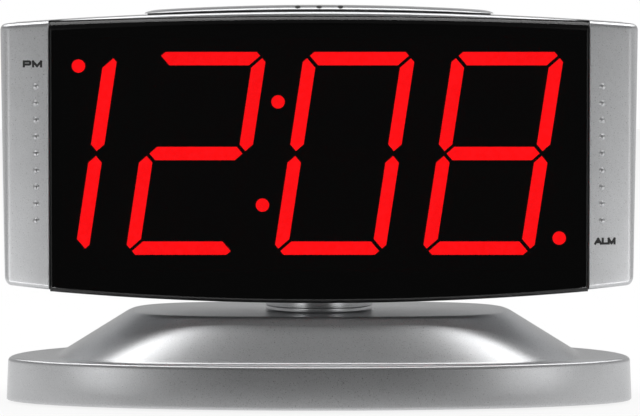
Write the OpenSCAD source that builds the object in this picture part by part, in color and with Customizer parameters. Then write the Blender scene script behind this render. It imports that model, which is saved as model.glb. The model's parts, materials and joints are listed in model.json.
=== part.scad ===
// Digital alarm clock with large lit digits, a bowed window, a long snooze bar and a swivel base.
// Millimetres. +Z is up, the front faces -Y, and the swivel axis is the Z axis.
// The origin is on the table, under the swivel axis.

/* [Base] */
// Half width of the base at its widest point
base_half_w = 69.8; // [60:0.1:80]
// Reach of the base in front of its widest line
base_front_reach = 24.4; // [20:0.1:30]
// Reach of the base behind its widest line
base_back_reach = 41; // [35:0.1:50]
// Squareness of the base outline, where 2 is an ellipse
base_squareness = 2; // [1.8:0.05:2.5]
// Height of the rim wall above the table
rim_h = 10; // [8:0.1:14]
// Inward lean of the rim wall from bottom to top
rim_lean = 0.35; // [0:0.05:1]
// Radius of the rounded top edge of the rim
rim_edge_r = 0.9; // [0.5:0.1:1.4]
// Half width of the dome where it meets the rim
dome_foot_half_w = 58.5; // [52:0.1:60]
// Reach of the dome to the front where it meets the rim
dome_foot_front = 28; // [24:0.1:29]
// Reach of the dome to the back where it meets the rim
dome_foot_back = 25.8; // [24:0.1:26]
// Squareness of the dome outline, where 2 is an ellipse
dome_squareness = 3; // [2:0.1:3.5]
// Squareness of the front of the dome's foot
dome_foot_squareness = 3.6; // [3:0.1:4]
// Half width of the flat top of the dome
plateau_half_w = 42.5; // [36:0.1:48]
// Reach of the flat top of the dome to the front
plateau_front = 22; // [18:0.1:24]
// Reach of the flat top of the dome to the back
plateau_back = 23; // [16:0.1:24]
// Height of the flat top of the dome above the table
plateau_h = 19.9; // [18:0.1:26]
// Wall of the base shell
base_wall = 2; // [1.6:0.1:2.6]
// Thickness of the bottom plate
base_plate_t = 2.6; // [2.2:0.1:3.4]
// Distance of the base screws inside the front and back of the flat top
base_screw_edge = 12.6; // [10:0.1:14]
// Gap between a base screw's head and the foot beside it
base_screw_gap = 4.6; // [2:0.1:8]

/* [Feet] */
// Radius of a rubber foot
foot_r = 5; // [3:0.1:6]
// Height that a foot stands out under the base
foot_out = 0.4; // [0.3:0.1:1]
// Depth of the recess that holds a foot
foot_sunk = 0.7; // [0.4:0.1:1]
// Distance of the feet from the ends of the base
foot_end = 24; // [20:0.5:28]
// Distance of the feet from the front and back of the base
foot_edge = 20; // [18:0.5:24]

/* [Swivel] */
// Radius of the neck and of the collar below it
neck_r = 12; // [11:0.1:13]
// Height of the collar on the flat top of the dome
collar_h = 1.1; // [0.6:0.1:2]
// Radius of the spigot that turns in the collar
spigot_r = 8.5; // [7.5:0.1:9]
// Thickness of the low-friction washer under the dome
washer_t = 0.8; // [0.5:0.1:1.2]
// Thickness of the retainer disc
retainer_t = 1.6; // [1.2:0.1:2.4]
// Reach of the retainer disc past the neck
retainer_reach = 1; // [0.5:0.1:2]
// Turn of the head to each side before the stop
swivel_stop_deg = 90; // [60:5:100]

/* [Head] */
// Half width of the head at mid height
head_half_w = 70; // [66:0.1:76]
// Height of the middle of the head's underside above the table
head_bottom = 23.1; // [22.6:0.1:28]
// Room in the head below the display block
below_display = 7.1; // [6:0.1:9]
// Room in the head above the display block
above_display = 5.8; // [5.5:0.1:8]
// Distance of the window's middle in front of the swivel axis
head_front = 24; // [22:0.1:28]
// Distance of the back in rear of the swivel axis
head_back = 20; // [19:0.1:26]
// Bow radius of the front in plan
front_bow_r = 300; // [240:10:400]
// Bow radius of the back in plan
back_bow_r = 4000; // [2000:100:6000]
// Arch radius of the top
top_arch_r = 900; // [700:50:2000]
// Arch radius of the underside
bottom_arch_r = 700; // [600:50:2000]
// Radius of the front corner of each cheek in plan
cheek_corner_r = 3; // [2.5:0.1:6]
// Radius of the back corners in plan
back_corner_r = 8; // [5:0.1:10]
// Radius of the top corners in front view
top_corner_r = 1.8; // [1:0.1:3]
// Radius of the bottom corners in front view
bottom_corner_r = 3.2; // [1:0.1:4]
// Inward taper of the sides towards the back, in degrees
plan_taper = 3; // [0:0.5:6]
// Outward lean of the sides towards the top, in degrees
side_lean = 0.9; // [0:0.1:1]
// Slope of the top and underside towards the back, in degrees
back_slope = 13; // [8:1:16]
// Distance behind the swivel axis where the top starts to slope
top_slope_start = 3; // [0:0.5:8]
// Distance behind the neck's wall where the underside starts to slope
bottom_slope_gap = 0.6; // [0.2:0.1:2]
// Wall of the front case and the rear cover
head_wall = 2; // [1.6:0.1:2.4]
// Distance of the rear cover's seam behind the swivel axis
seam_back = 13; // [12.5:0.1:14]

/* [Window] */
// Width of each cheek beside the window
cheek_w = 10.6; // [9.5:0.1:12]
// Thickness of the window
window_t = 2.5; // [2:0.1:3]
// Arch radius of the window's lower edge
window_arch_r = 830; // [700:10:2000]
// Drop of the window's top edge below the head's top
window_top_drop = 0.8; // [0.4:0.1:1.5]
// Wall behind the window
window_back_wall = 1.6; // [1.2:0.1:2]

/* [Display] */
// Height of a digit
digit_h = 44.8; // [40:0.1:46]
// Width of a digit
digit_w = 24.5; // [20:0.1:26]
// Thickness of a lit segment
segment_t = 2.95; // [2.4:0.05:3.4]
// Gap between two segments
segment_gap = 0.75; // [0.5:0.05:1]
// Cut at the outer corner of a digit
segment_corner = 2.2; // [1.5:0.05:2.6]
// Slant of the digits, in degrees
digit_slant = 8.6; // [0:0.1:12]
// Distance of the last digit's centre inside the display block's edge
last_digit_edge = 18.7; // [17:0.1:20]
// Distance of the first digit's centre outside the display block's edge
first_digit_out = 2.8; // [1:0.1:4]
// Radius of a dot
dot_r = 1.48; // [1:0.02:2]
// Height of the colon dots above and below the digits' centre
colon_rise = 11.4; // [9:0.1:13]
// Distance of the outer indicator dots inside the display block's edges
indicator_edge = 4.1; // [3:0.1:5]
// Height of the evening indicator above the digits' centre
evening_rise = 19.3; // [16:0.1:20]
// Drop of the alarm indicator below the digits' centre
alarm_drop = 18.7; // [16:0.1:20]
// Depth of the segment windows
segment_depth = 1.2; // [0.8:0.1:2]
// Gap between the display block and the bosses beside it
display_side_gap = 1.7; // [1:0.1:3]
// Rim of the display block above and below the digits
display_rim = 3.1; // [2.5:0.1:4]
// Depth of the display block
display_d = 8; // [6:0.1:9]

/* [Boards] */
// Gap between the main board's edge and the case's side wall
board_side_gap = 3.5; // [3:0.1:5]
// Distance of the main board's edge inside the top and bottom of the display block
board_short = 0.5; // [0:0.1:1.5]
// Thickness of every board
board_t = 1.6; // [1.2:0.1:2]
// Drop of the control board's centre below the row of controls
control_drop = 2; // [1.5:0.1:3]
// Edge of the control board past the outer controls
control_edge = 7.2; // [6.8:0.1:9]
// Height of the control board
control_board_h = 17; // [16:0.5:18]
// Width of the clock chip
chip_w = 34; // [28:0.5:38]
// Height of the clock chip
chip_h = 14; // [10:0.5:15]
// Depth of the clock chip
chip_d = 4; // [3:0.1:5]
// Pins on each side of the clock chip
chip_pins = 12; // [8:1:13]
// Pitch of the pins on the chip and the header
pin_pitch = 2.54; // [2:0.01:2.54]
// Width of a chip pin
pin_w = 0.6; // [0.4:0.1:1]
// Radius of a capacitor
capacitor_r = 3.2; // [2.5:0.1:4]
// Depth of a capacitor
capacitor_d = 9; // [6:0.5:12]
// Distance between capacitors
capacitor_pitch = 9; // [8.5:0.1:10]
// Distance of the capacitors inside the main board's edge
capacitor_edge = 12.5; // [12:0.5:16]
// Pins in the header between the two boards
header_pins = 10; // [6:1:12]
// Depth of a push switch
switch_body_d = 4; // [3.5:0.1:4.5]
// Side of a push switch
switch_side = 6; // [5:0.1:7]
// Radius of a push switch's plunger
plunger_r = 1.6; // [1.2:0.1:2]

/* [Snooze bar] */
// Half length of the snooze bar
snooze_half_l = 39; // [34:0.1:42]
// Wall of the case between the snooze bar and the wall behind the window
snooze_lead = 2.6; // [2:0.1:3.5]
// Height of the middle of the bar above the head's top
snooze_rise = 1.4; // [1:0.1:2.5]
// Height of the bar's ends above the head
snooze_end_rise = 1; // [0.4:0.1:1.2]
// Radius of the long edges of the snooze bar
snooze_round = 1.7; // [1.2:0.1:4]
// Wall of the snooze bar
snooze_wall = 1.6; // [1.2:0.1:2]
// Depth of the bar's skirt below the head's top
snooze_skirt = 4; // [3.5:0.1:4.5]
// Travel of the snooze bar
snooze_travel = 1; // [0.5:0.1:1.2]
// Radius of a dimple on the bar
dimple_r = 0.55; // [0.4:0.05:0.8]
// Distance between dimples
dimple_pitch = 4.7; // [3:0.1:8]
// Tilt of the dimples towards the front, in degrees
dimple_tilt = 33; // [20:1:45]

/* [Rear controls] */
// Radius of a set button
button_r = 4; // [3:0.1:4.5]
// Height that a set button stands out of the back
button_out = 1.4; // [1:0.1:2]
// Reach of a set button's flange inside the cover
button_flange = 1; // [0.6:0.1:1.2]
// Thickness of a set button's flange
button_flange_t = 0.8; // [0.6:0.1:1]
// Travel of a set button
button_travel = 1; // [0.5:0.1:1.2]
// Distance between set buttons
button_pitch = 13; // [12:0.1:14]
// Drop of the row of set buttons below the head's top
button_row_drop = 13; // [12.5:0.1:15]
// Distance of the first set button to the left of the middle, as seen from the front
first_button_left = 34; // [33:0.1:35]
// Height of a slide knob
slider_h = 3.2; // [2.6:0.1:4]
// Width of a slide knob
slider_w = 4; // [3:0.1:5]
// Travel of a slide knob
slider_travel = 3; // [2:0.1:3.5]
// Height that a slide knob stands out of the back
slider_out = 1.2; // [0.8:0.1:2]
// Distance from the last set button to the first slide knob
slider_lead = 11.5; // [11:0.1:13]
// Distance between the two slide knobs
slider_pitch = 13; // [12.5:0.1:15]

/* [Power and sound] */
// Radius of the coin cell
cell_r = 10; // [8:0.1:10]
// Thickness of the coin cell
cell_t = 3.2; // [2:0.1:3.2]
// Place of the cell to the left of the middle, as seen from the front
cell_left = 30; // [28:0.5:34]
// Height of the cell's centre above the head's underside
cell_rise = 21.9; // [20:0.1:24]
// Thickness of the battery door
door_t = 1.5; // [1.2:0.1:2]
// Pull of the battery door away from the back
door_pull = 12; // [8:1:20]
// Width of the transformer core
core_w = 30; // [28:0.5:34]
// Height of the transformer core
core_h = 24; // [22:0.5:26]
// Stack of the transformer core
core_d = 10; // [8:0.5:11]
// Width of the core's outer legs and yokes
core_side_w = 4; // [3:0.1:4.5]
// Width of each window in the core
core_window_w = 6; // [5:0.1:7]
// Reach of the coil past each face of the core
coil_out = 2.4; // [2:0.1:3]
// Distance of the transformer's centre inside the main board's edge
core_edge = 26.5; // [25:0.5:30]
// Height of the transformer's centre above the head's underside
core_rise = 20; // [19:0.5:22]
// Radius of the sounder
sounder_r = 11; // [9:0.1:12]
// Depth of the sounder
sounder_d = 5; // [4:0.1:6]
// Place of the sounder to the right of the middle, as seen from the front
sounder_right = 2; // [0:0.5:4]
// Height of the sounder's centre above the head's underside
sounder_rise = 21.9; // [19:0.1:24]
// Width of a sound slot
sound_slot_w = 1.4; // [1:0.1:1.6]
// Distance between sound slots
sound_slot_pitch = 2.6; // [2.4:0.1:2.8]
// Distance of the cord bush inside the head's side
cord_edge = 20; // [18:0.5:22]
// Height of the cord bush above the head's underside
cord_rise = 16.9; // [15:0.1:20]
// Thickness of the cord bush's flanges
cord_flange = 1.2; // [1:0.1:1.6]
// Radius of the hole in the cord bush
cord_hole_r = 2.2; // [1.8:0.1:2.5]
// Radius of the cord bush in the cover
cord_bush_r = 4.2; // [4:0.1:5]

/* [Fasteners] */
// Radius of a case screw's shank
screw_r = 1.4; // [1.2:0.05:1.6]
// Radius of a case screw's head
screw_head_r = 2.6; // [2.4:0.1:3]
// Height of a case screw's head
screw_head_h = 1.6; // [1.2:0.1:2]
// Reach of a screw into its boss
screw_bite = 5; // [4:0.1:6]
// Wall round a screw's hole
boss_wall = 1.5; // [1.2:0.1:1.8]
// Radius of a neck screw's shank
neck_pilot_r = 0.9; // [0.8:0.05:1.1]
// Radius of a neck screw's head
neck_head_r = 1.8; // [1.6:0.1:2]

/* [Cheek studs] */
// Number of studs down each cheek
studs = 9; // [5:1:11]
// Distance between studs
stud_pitch = 3.7; // [3:0.05:4]
// Radius of a stud
stud_r = 0.6; // [0.4:0.05:0.8]
// Height that a stud stands out of the cheek
stud_out = 0.4; // [0.2:0.05:0.5]
// Distance of the studs outside the window's edge
stud_side = 3.4; // [2:0.1:5]

/* [Hidden] */
$fn = 64;
// Clearances between pieces that fit, slide, press and turn
fit_gap = 0.1;
slide_gap = 0.3;
press_gap = 0.02;
turn_gap = 0.05;
// Far past every face, for cuts that run right through
past = 1;
far = 120;

// The base's outline is centred on the swivel axis, so its widest line lies ahead of it
base_widest_ahead = (base_back_reach - base_front_reach) / 2;
base_half_d = (base_back_reach + base_front_reach) / 2;
foot_side = base_half_w - foot_end;
foot_ahead = base_half_d - foot_edge;

// The head is built round the display block, whose height follows the digits
display_h = digit_h + 2 * display_rim;
digit_centre_h = head_bottom + below_display + display_h / 2;
head_top = digit_centre_h + display_h / 2 + above_display;
window_half_w = head_half_w - cheek_w;
board_half_w = head_half_w - head_wall - board_side_gap;
board_h = display_h - 2 * board_short;
boss_r = screw_r + boss_wall;
case_screw_x = board_half_w - boss_r;
case_screw_z = [digit_centre_h - board_h / 2 + boss_r, digit_centre_h + board_h / 2 - boss_r];
display_half_w = case_screw_x - boss_r - display_side_gap;
last_digit_right = display_half_w - last_digit_edge;
digit_pitch = (last_digit_right + display_half_w + first_digit_out) / 3;
indicator_side = display_half_w - indicator_edge;

// Places of what the boards and the rear cover carry
button_row_h = head_top - button_row_drop;
slider_x = [for (k = [0, 1]) -first_button_left + 3 * button_pitch + slider_lead + k * slider_pitch];
control_board_w = slider_x[1] + first_button_left + 2 * control_edge;
control_centre_h = button_row_h - control_drop;
cell_h = head_bottom + cell_rise;
core_right = board_half_w - core_edge;
core_z = head_bottom + core_rise;
capacitor_left = board_half_w - capacitor_edge;
sounder_h = head_bottom + sounder_rise;
cord_right = head_half_w - cord_edge;
cord_h = head_bottom + cord_rise;

// Heights
plate_bottom = foot_out;
plate_top = plate_bottom + base_plate_t;
base_screw_seat = plate_bottom + screw_head_h;
plateau_under = plateau_h - base_wall;
collar_top = plateau_h + collar_h;
neck_seat = collar_top + turn_gap;
washer_bottom = plateau_under - washer_t;
spigot_end = washer_bottom - turn_gap;
retainer_bottom = spigot_end - retainer_t;
head_floor = head_bottom + head_wall;
head_roof = head_top - head_wall;

// Depths, front to back
window_back = -head_front + window_t;
window_edge_back = window_back + front_bow_r - sqrt(pow(front_bow_r, 2) - pow(display_half_w, 2));
display_front = window_edge_back + slide_gap;
board_front = display_front + display_d;
board_back = board_front + board_t;
back_inside = head_back - head_wall;
flange_back = back_inside - slide_gap;
flange_front = flange_back - button_flange_t;
switch_back = flange_front - button_travel - slide_gap;
control_back = switch_back - switch_body_d;
control_front = control_back - board_t;
bottom_slope_start = neck_r + bottom_slope_gap;

// The snooze bar's switch, on the back of the main board, and the slot that the bar runs in
snooze_switch_w = 7;
snooze_switch_h = 6;
snooze_switch_d = 6;
snooze_post_r = plunger_r + 1;
snooze_stem_y = board_back + snooze_switch_d / 2;
board_top = digit_centre_h + board_h / 2;
snooze_switch_top = board_top - slide_gap;
snooze_front = window_back + window_back_wall + snooze_lead;
snooze_back = snooze_stem_y + snooze_post_r + slide_gap;
snooze_d = snooze_back - snooze_front;

// Outline functions

// Points along a round arc
function arc(centre, r, from, to, steps) =
  [for (k = [0 : steps]) let (a = from + (to - from) * k / steps)
    [centre[0] + r * cos(a), centre[1] + r * sin(a)]];

// One half of a barrel outline: a bowed near edge, a filleted corner, a leaning side and a bowed far edge
function barrel_half(half_w, near, near_r, near_corner, far_edge, far_r, far_corner, lean) =
  let (
    n = [cos(lean), sin(lean)],
    d = [-sin(lean), cos(lean)],
    reach = half_w * cos(lean) + (near + far_edge) / 2 * sin(lean),
    near_o = [0, near + near_r],
    far_o = [0, far_edge - far_r],
    near_q = (reach - near_corner) * n - near_o,
    far_q = (reach - far_corner) * n - far_o,
    near_s = -near_q * d - sqrt(pow(near_q * d, 2) - near_q * near_q + pow(near_r - near_corner, 2)),
    far_s = -far_q * d + sqrt(pow(far_q * d, 2) - far_q * far_q + pow(far_r - far_corner, 2)),
    near_c = near_o + near_q + near_s * d,
    far_c = far_o + far_q + far_s * d,
    near_a = atan2(near_c[1] - near_o[1], near_c[0]),
    far_a = atan2(far_c[1] - far_o[1], far_c[0])
  ) concat(
    arc(near_o, near_r, -90, near_a, 14),
    [for (k = [1 : 6]) arc(near_c, near_corner, near_a, lean, 6)[k]],
    arc(far_c, far_corner, lean, far_a, 6),
    [for (k = [1 : 14]) arc(far_o, far_r, far_a, 90, 14)[k]]);

// A barrel outline, both halves
function barrel(half) = concat(half,
  [for (k = [len(half) - 2 : -1 : 1]) [-half[k][0], half[k][1]]]);

// Plan of the head, set in by a wall
function head_plan(inset) = barrel(barrel_half(head_half_w - inset,
  -head_front + inset, front_bow_r - inset, max(cheek_corner_r - inset, 0.6),
  head_back - inset, back_bow_r - inset, max(back_corner_r - inset, 0.6), plan_taper));

// Front view of the head, set in by a wall
function head_elevation(inset) = barrel(barrel_half(head_half_w - inset,
  head_bottom + inset, bottom_arch_r - inset, max(bottom_corner_r - inset, 0.6),
  head_top - inset, top_arch_r - inset, max(top_corner_r - inset, 0.6), -side_lean));

// Front view of the window, whose lower edge is flatter than the head's
function window_elevation() = barrel(barrel_half(head_half_w,
  head_bottom, window_arch_r, bottom_corner_r,
  head_top - window_top_drop, top_arch_r, top_corner_r, -side_lean));

// Side view of the head: the wedge left between the two slopes at the back
function head_profile(inset) = let (k = tan(back_slope)) [
  [-far, head_bottom + inset - (far + bottom_slope_start) * k],
  [far, head_bottom + inset + (far - bottom_slope_start) * k],
  [far, head_top - inset - (far - top_slope_start) * k],
  [-far, head_top - inset + (far + top_slope_start) * k]];

// A superellipse with its own reach and squareness to the front and to the back
function oval(half_w, front, back, front_power, back_power, centre_y, steps = 72) =
  [for (k = [0 : steps - 1])
    let (a = 360 * k / steps, c = cos(a), s = sin(a), power = s > 0 ? back_power : front_power)
    [half_w * sign(c) * pow(abs(c), 2 / power),
      centre_y + (s > 0 ? back : front) * sign(s) * pow(abs(s), 2 / power)]];

// Outline of the base rim, set in by a wall
function rim_outline(inset) = oval(base_half_w - inset, base_front_reach - inset, base_back_reach - inset,
  base_squareness, base_squareness, -base_widest_ahead);

// Outline of the dome from its foot (0) to its flat top (1), set in by a wall
function dome_outline(share, inset) = let (
    w = dome_foot_half_w + (plateau_half_w - dome_foot_half_w) * share - inset,
    front = dome_foot_front + (plateau_front - dome_foot_front) * share - inset,
    back = dome_foot_back + (plateau_back - dome_foot_back) * share - inset,
    front_power = dome_foot_squareness + (dome_squareness - dome_foot_squareness) * share)
  oval(w, front, back, front_power, dome_squareness, 0);

function at_height(outline, z) = [for (p = outline) [p[0], p[1], z]];

// Solid through a stack of rings with equal numbers of points
module loft(rings) {
  n = len(rings[0]);
  last = len(rings) - 1;
  sides = [for (k = [0 : last - 1], i = [0 : n - 1]) let (j = (i + 1) % n)
    each [[k * n + i, k * n + n + i, k * n + n + j], [k * n + i, k * n + n + j, k * n + j]]];
  caps = [[for (i = [0 : n - 1]) i], [for (i = [n - 1 : -1 : 0]) last * n + i]];
  polyhedron([for (r = rings) each r], concat(sides, caps), convexity = 6);
}

// Extrusions into the other two planes
module along_y(from, to) {
  translate([0, to, 0]) rotate([90, 0, 0]) linear_extrude(to - from) children();
}

module along_x(from, to) {
  translate([from, 0, 0]) rotate([90, 0, 90]) linear_extrude(to - from) children();
}

// A round bar along Y
module rod_y(r, from, to) {
  along_y(from, to) circle(r);
}

module box_between(low, high) {
  translate(low) cube(high - low);
}

// The head as one solid, set in by a wall
module head_solid(inset) {
  intersection() {
    linear_extrude(far) polygon(head_plan(inset));
    along_y(-far, far) polygon(head_elevation(inset));
    along_x(-far, far) polygon(head_profile(inset));
  }
}

// Everything in front of the head's bow, moved back by an amount
module front_of_bow(back) {
  difference() {
    translate([-far, -far]) square([2 * far, far]);
    translate([0, front_bow_r - head_front]) circle(front_bow_r - back, $fn = 256);
  }
}

// A screw along Y with its head at the back
module screw_y(x, z, tip, seat) {
  translate([x, 0, z]) {
    rod_y(screw_r, tip, seat);
    difference() {
      rod_y(screw_head_r, seat, seat + screw_head_h);
      along_y(seat + screw_head_h / 2, seat + screw_head_h + past) cross_2d(screw_head_r * 0.6);
    }
  }
}

// A screw along Z: its head is below the seat, or above it when up is true
module screw_z(x, y, tip, seat, up = false) {
  low = up ? seat : seat - screw_head_h;
  slot_low = up ? seat + screw_head_h / 2 : seat - screw_head_h - past;
  translate([x, y, 0]) {
    translate([0, 0, min(tip, seat)]) cylinder(r = screw_r, h = abs(tip - seat));
    difference() {
      translate([0, 0, low]) cylinder(r = screw_head_r, h = screw_head_h);
      translate([0, 0, slot_low]) linear_extrude(screw_head_h / 2 + past) cross_2d(screw_head_r * 0.6);
    }
  }
}

// Cross recess of a screw
module cross_2d(reach) {
  blade = reach / 3;
  square([2 * reach, blade], center = true);
  square([blade, 2 * reach], center = true);
}

// Base

base_boss = [for (x = [-1, 1], y = [-1, 1])
  [x * (foot_side - foot_r - base_screw_gap - screw_head_r), y * (plateau_front - base_screw_edge)]];
foot_places = [for (x = [-1, 1], y = [-1, 1]) [x * foot_side, y * foot_ahead]];
retainer_r = neck_r + retainer_reach;
stop_w = 3;
stop_reach = 3;

module base_outer() {
  edge = [for (k = [0 : 3]) let (a = 30 * k) [rim_edge_r * (1 - cos(a)), rim_edge_r * sin(a)]];
  loft(concat(
    [at_height(rim_outline(0), plate_bottom)],
    [for (e = edge) at_height(rim_outline(rim_lean + e[0]), rim_h - rim_edge_r + e[1])],
    [at_height(dome_outline(0, 0), rim_h)],
    [at_height(dome_outline(1, 0), plateau_h)]));
}

module base_inner() {
  loft([at_height(rim_outline(base_wall), plate_bottom - past),
    at_height(rim_outline(base_wall + rim_lean), rim_h - base_wall),
    at_height(dome_outline(0, base_wall), rim_h - base_wall / 2),
    at_height(dome_outline(1, base_wall), plateau_under)]);
}

// Ribs under the dome that stop the retainer's lug at each end of its turn
module stop_ribs() {
  for (side = [-1, 1])
    rotate([0, 0, side * (swivel_stop_deg + asin((stop_w + fit_gap) / retainer_r))])
      translate([-stop_w / 2, retainer_r + slide_gap, retainer_bottom])
        cube([stop_w, stop_reach, plateau_under - retainer_bottom + base_wall / 2]);
}

module base_shell() {
  color("silver") difference() {
    union() {
      difference() {
        base_outer();
        base_inner();
      }
      translate([0, 0, plateau_under]) cylinder(r = neck_r, h = collar_top - plateau_under);
      intersection() {
        base_outer();
        for (p = base_boss)
          translate([p[0], p[1], plate_top]) cylinder(r = boss_r, h = plateau_under - plate_top);
      }
      stop_ribs();
    }
    translate([0, 0, plateau_under - past])
      cylinder(r = spigot_r + turn_gap, h = collar_top - plateau_under + 2 * past);
    for (p = base_boss)
      translate([p[0], p[1], plate_top - past]) cylinder(r = screw_r + press_gap, h = screw_bite + 2 * past);
  }
}

module base_plate() {
  color([0.16, 0.16, 0.17]) difference() {
    translate([0, 0, plate_bottom]) linear_extrude(base_plate_t)
      polygon(rim_outline(base_wall + rim_lean + fit_gap));
    for (p = base_boss) translate([p[0], p[1], 0]) {
      cylinder(r = screw_r + fit_gap, h = plate_top + past);
      cylinder(r = screw_head_r + fit_gap, h = base_screw_seat);
    }
    for (p = foot_places)
      translate([p[0], p[1], 0]) cylinder(r = foot_r + press_gap, h = plate_bottom + foot_sunk);
  }
}

module rubber_feet() {
  color([0.1, 0.1, 0.1]) for (p = foot_places)
    translate([p[0], p[1], 0]) cylinder(r = foot_r, h = plate_bottom + foot_sunk);
}

module base_screws() {
  color("darkgray") for (p = base_boss)
    screw_z(p[0], p[1], plate_top + screw_bite, base_screw_seat);
}

// Swivel

neck_screw_ring = spigot_r - boss_wall - neck_pilot_r;
neck_screw_places = [for (a = [90, 210, 330]) [neck_screw_ring * cos(a), neck_screw_ring * sin(a)]];

module swivel_washer() {
  color("white") translate([0, 0, washer_bottom]) difference() {
    cylinder(r = neck_r, h = washer_t);
    translate([0, 0, -past]) cylinder(r = spigot_r + fit_gap, h = washer_t + 2 * past);
  }
}

module swivel_neck() {
  color("silver") difference() {
    union() {
      translate([0, 0, neck_seat]) cylinder(r = neck_r, h = head_bottom - neck_seat);
      translate([0, 0, spigot_end]) cylinder(r = spigot_r, h = neck_seat - spigot_end + past);
    }
    translate([0, 0, spigot_end - past]) cylinder(r = screw_r + press_gap, h = screw_bite + past);
    for (p = neck_screw_places)
      translate([p[0], p[1], head_bottom - screw_bite]) cylinder(r = neck_pilot_r + press_gap, h = far);
  }
}

module neck_screws() {
  color("darkgray") for (p = neck_screw_places) translate([p[0], p[1], head_bottom - screw_bite + fit_gap]) {
    cylinder(r = neck_pilot_r, h = head_floor - head_bottom + screw_bite);
    translate([0, 0, head_floor - head_bottom + screw_bite]) difference() {
      cylinder(r = neck_head_r, h = screw_head_h);
      translate([0, 0, screw_head_h / 2]) linear_extrude(screw_head_h) cross_2d(neck_pilot_r);
    }
  }
}

module retainer_disc() {
  color([0.2, 0.2, 0.2]) translate([0, 0, retainer_bottom]) difference() {
    union() {
      cylinder(r = retainer_r, h = retainer_t);
      translate([-stop_w / 2, 0, 0]) cube([stop_w, retainer_r + stop_reach, retainer_t]);
    }
    translate([0, 0, -past]) cylinder(r = screw_r + fit_gap, h = retainer_t + 2 * past);
  }
}

module retainer_screw() {
  color("darkgray") screw_z(0, 0, spigot_end + screw_bite - fit_gap, retainer_bottom);
}

// Head shells

display_window_half_w = display_half_w + slide_gap;
display_window_h = display_h + 2 * slide_gap;

// A slot-shaped plan with round ends
module slot_2d(half_l, from, to) {
  r = (to - from) / 2;
  hull_free_l = half_l - r;
  translate([-hull_free_l, from]) square([2 * hull_free_l, to - from]);
  for (side = [-1, 1]) translate([side * hull_free_l, (from + to) / 2]) circle(r);
}

// The hollow inside the head, behind the wall that backs the window
module head_hollow() {
  difference() {
    head_solid(head_wall);
    linear_extrude(far) front_of_bow(window_t + fit_gap + window_back_wall);
  }
}

module front_half(gap) {
  box_between([-far, -far, 0], [far, seam_back - gap, far]);
}

// A column of small round studs down each cheek
module cheek_studs() {
  x = window_half_w + stud_side;
  y = front_bow_r - head_front - sqrt(pow(front_bow_r, 2) - pow(x, 2));
  for (side = [-1, 1], k = [0 : studs - 1])
    translate([side * x, y + stud_r - stud_out, digit_centre_h + stud_pitch * (k - (studs - 1) / 2)])
      sphere(stud_r, $fn = 24);
}

module front_case() {
  color("silver") difference() {
    union() {
      difference() {
        intersection() {
          head_solid(0);
          front_half(0);
        }
        head_hollow();
      }
      // Bosses that carry the main board and take the rear screws
      for (x = [-1, 1], z = case_screw_z) translate([x * case_screw_x, 0, z]) intersection() {
        rod_y(boss_r, -head_front, board_front);
        translate([-x * case_screw_x, 0, -z]) head_solid(head_wall / 2);
      }
      cheek_studs();
    }
    // Pocket for the window
    intersection() {
      linear_extrude(far) front_of_bow(window_t + fit_gap);
      box_between([-window_half_w - fit_gap, -far, 0], [window_half_w + fit_gap, far, far]);
    }
    // Opening for the display
    box_between([-display_window_half_w, -far, digit_centre_h - display_window_h / 2],
      [display_window_half_w, board_front - board_t, digit_centre_h + display_window_h / 2]);
    // Slot for the snooze bar
    translate([0, 0, head_roof - past]) linear_extrude(far)
      slot_2d(snooze_half_l + slide_gap, snooze_front - slide_gap, snooze_back + slide_gap);
    for (p = neck_screw_places)
      translate([p[0], p[1], head_bottom - past]) cylinder(r = neck_pilot_r + fit_gap, h = head_wall + 2 * past);
    for (x = [-1, 1], z = case_screw_z) translate([x * case_screw_x, 0, z])
      rod_y(screw_r + press_gap, board_front - screw_bite, board_front + past);
  }
}

// Rear cover

door_half = cell_r + 2;
pocket_gap = 0.6;
pocket_half = cell_r + pocket_gap;
pocket_floor = head_back - door_t - cell_t - 2 * pocket_gap;
cell_x = -cell_left;
slider_room = slider_w / 2 + slider_travel / 2;
slider_neck_h = slider_h - 1;

function button_x(k) = -first_button_left + k * button_pitch;

// Pattern of sound slots
module sound_slots_2d() {
  reach = sounder_r - head_wall;
  count = floor((reach - sound_slot_w) / sound_slot_pitch);
  for (k = [-count : count])
    translate([k * sound_slot_pitch, 0])
      square([sound_slot_w, 2 * sqrt(pow(reach, 2) - pow(k * sound_slot_pitch, 2))], center = true);
}

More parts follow.
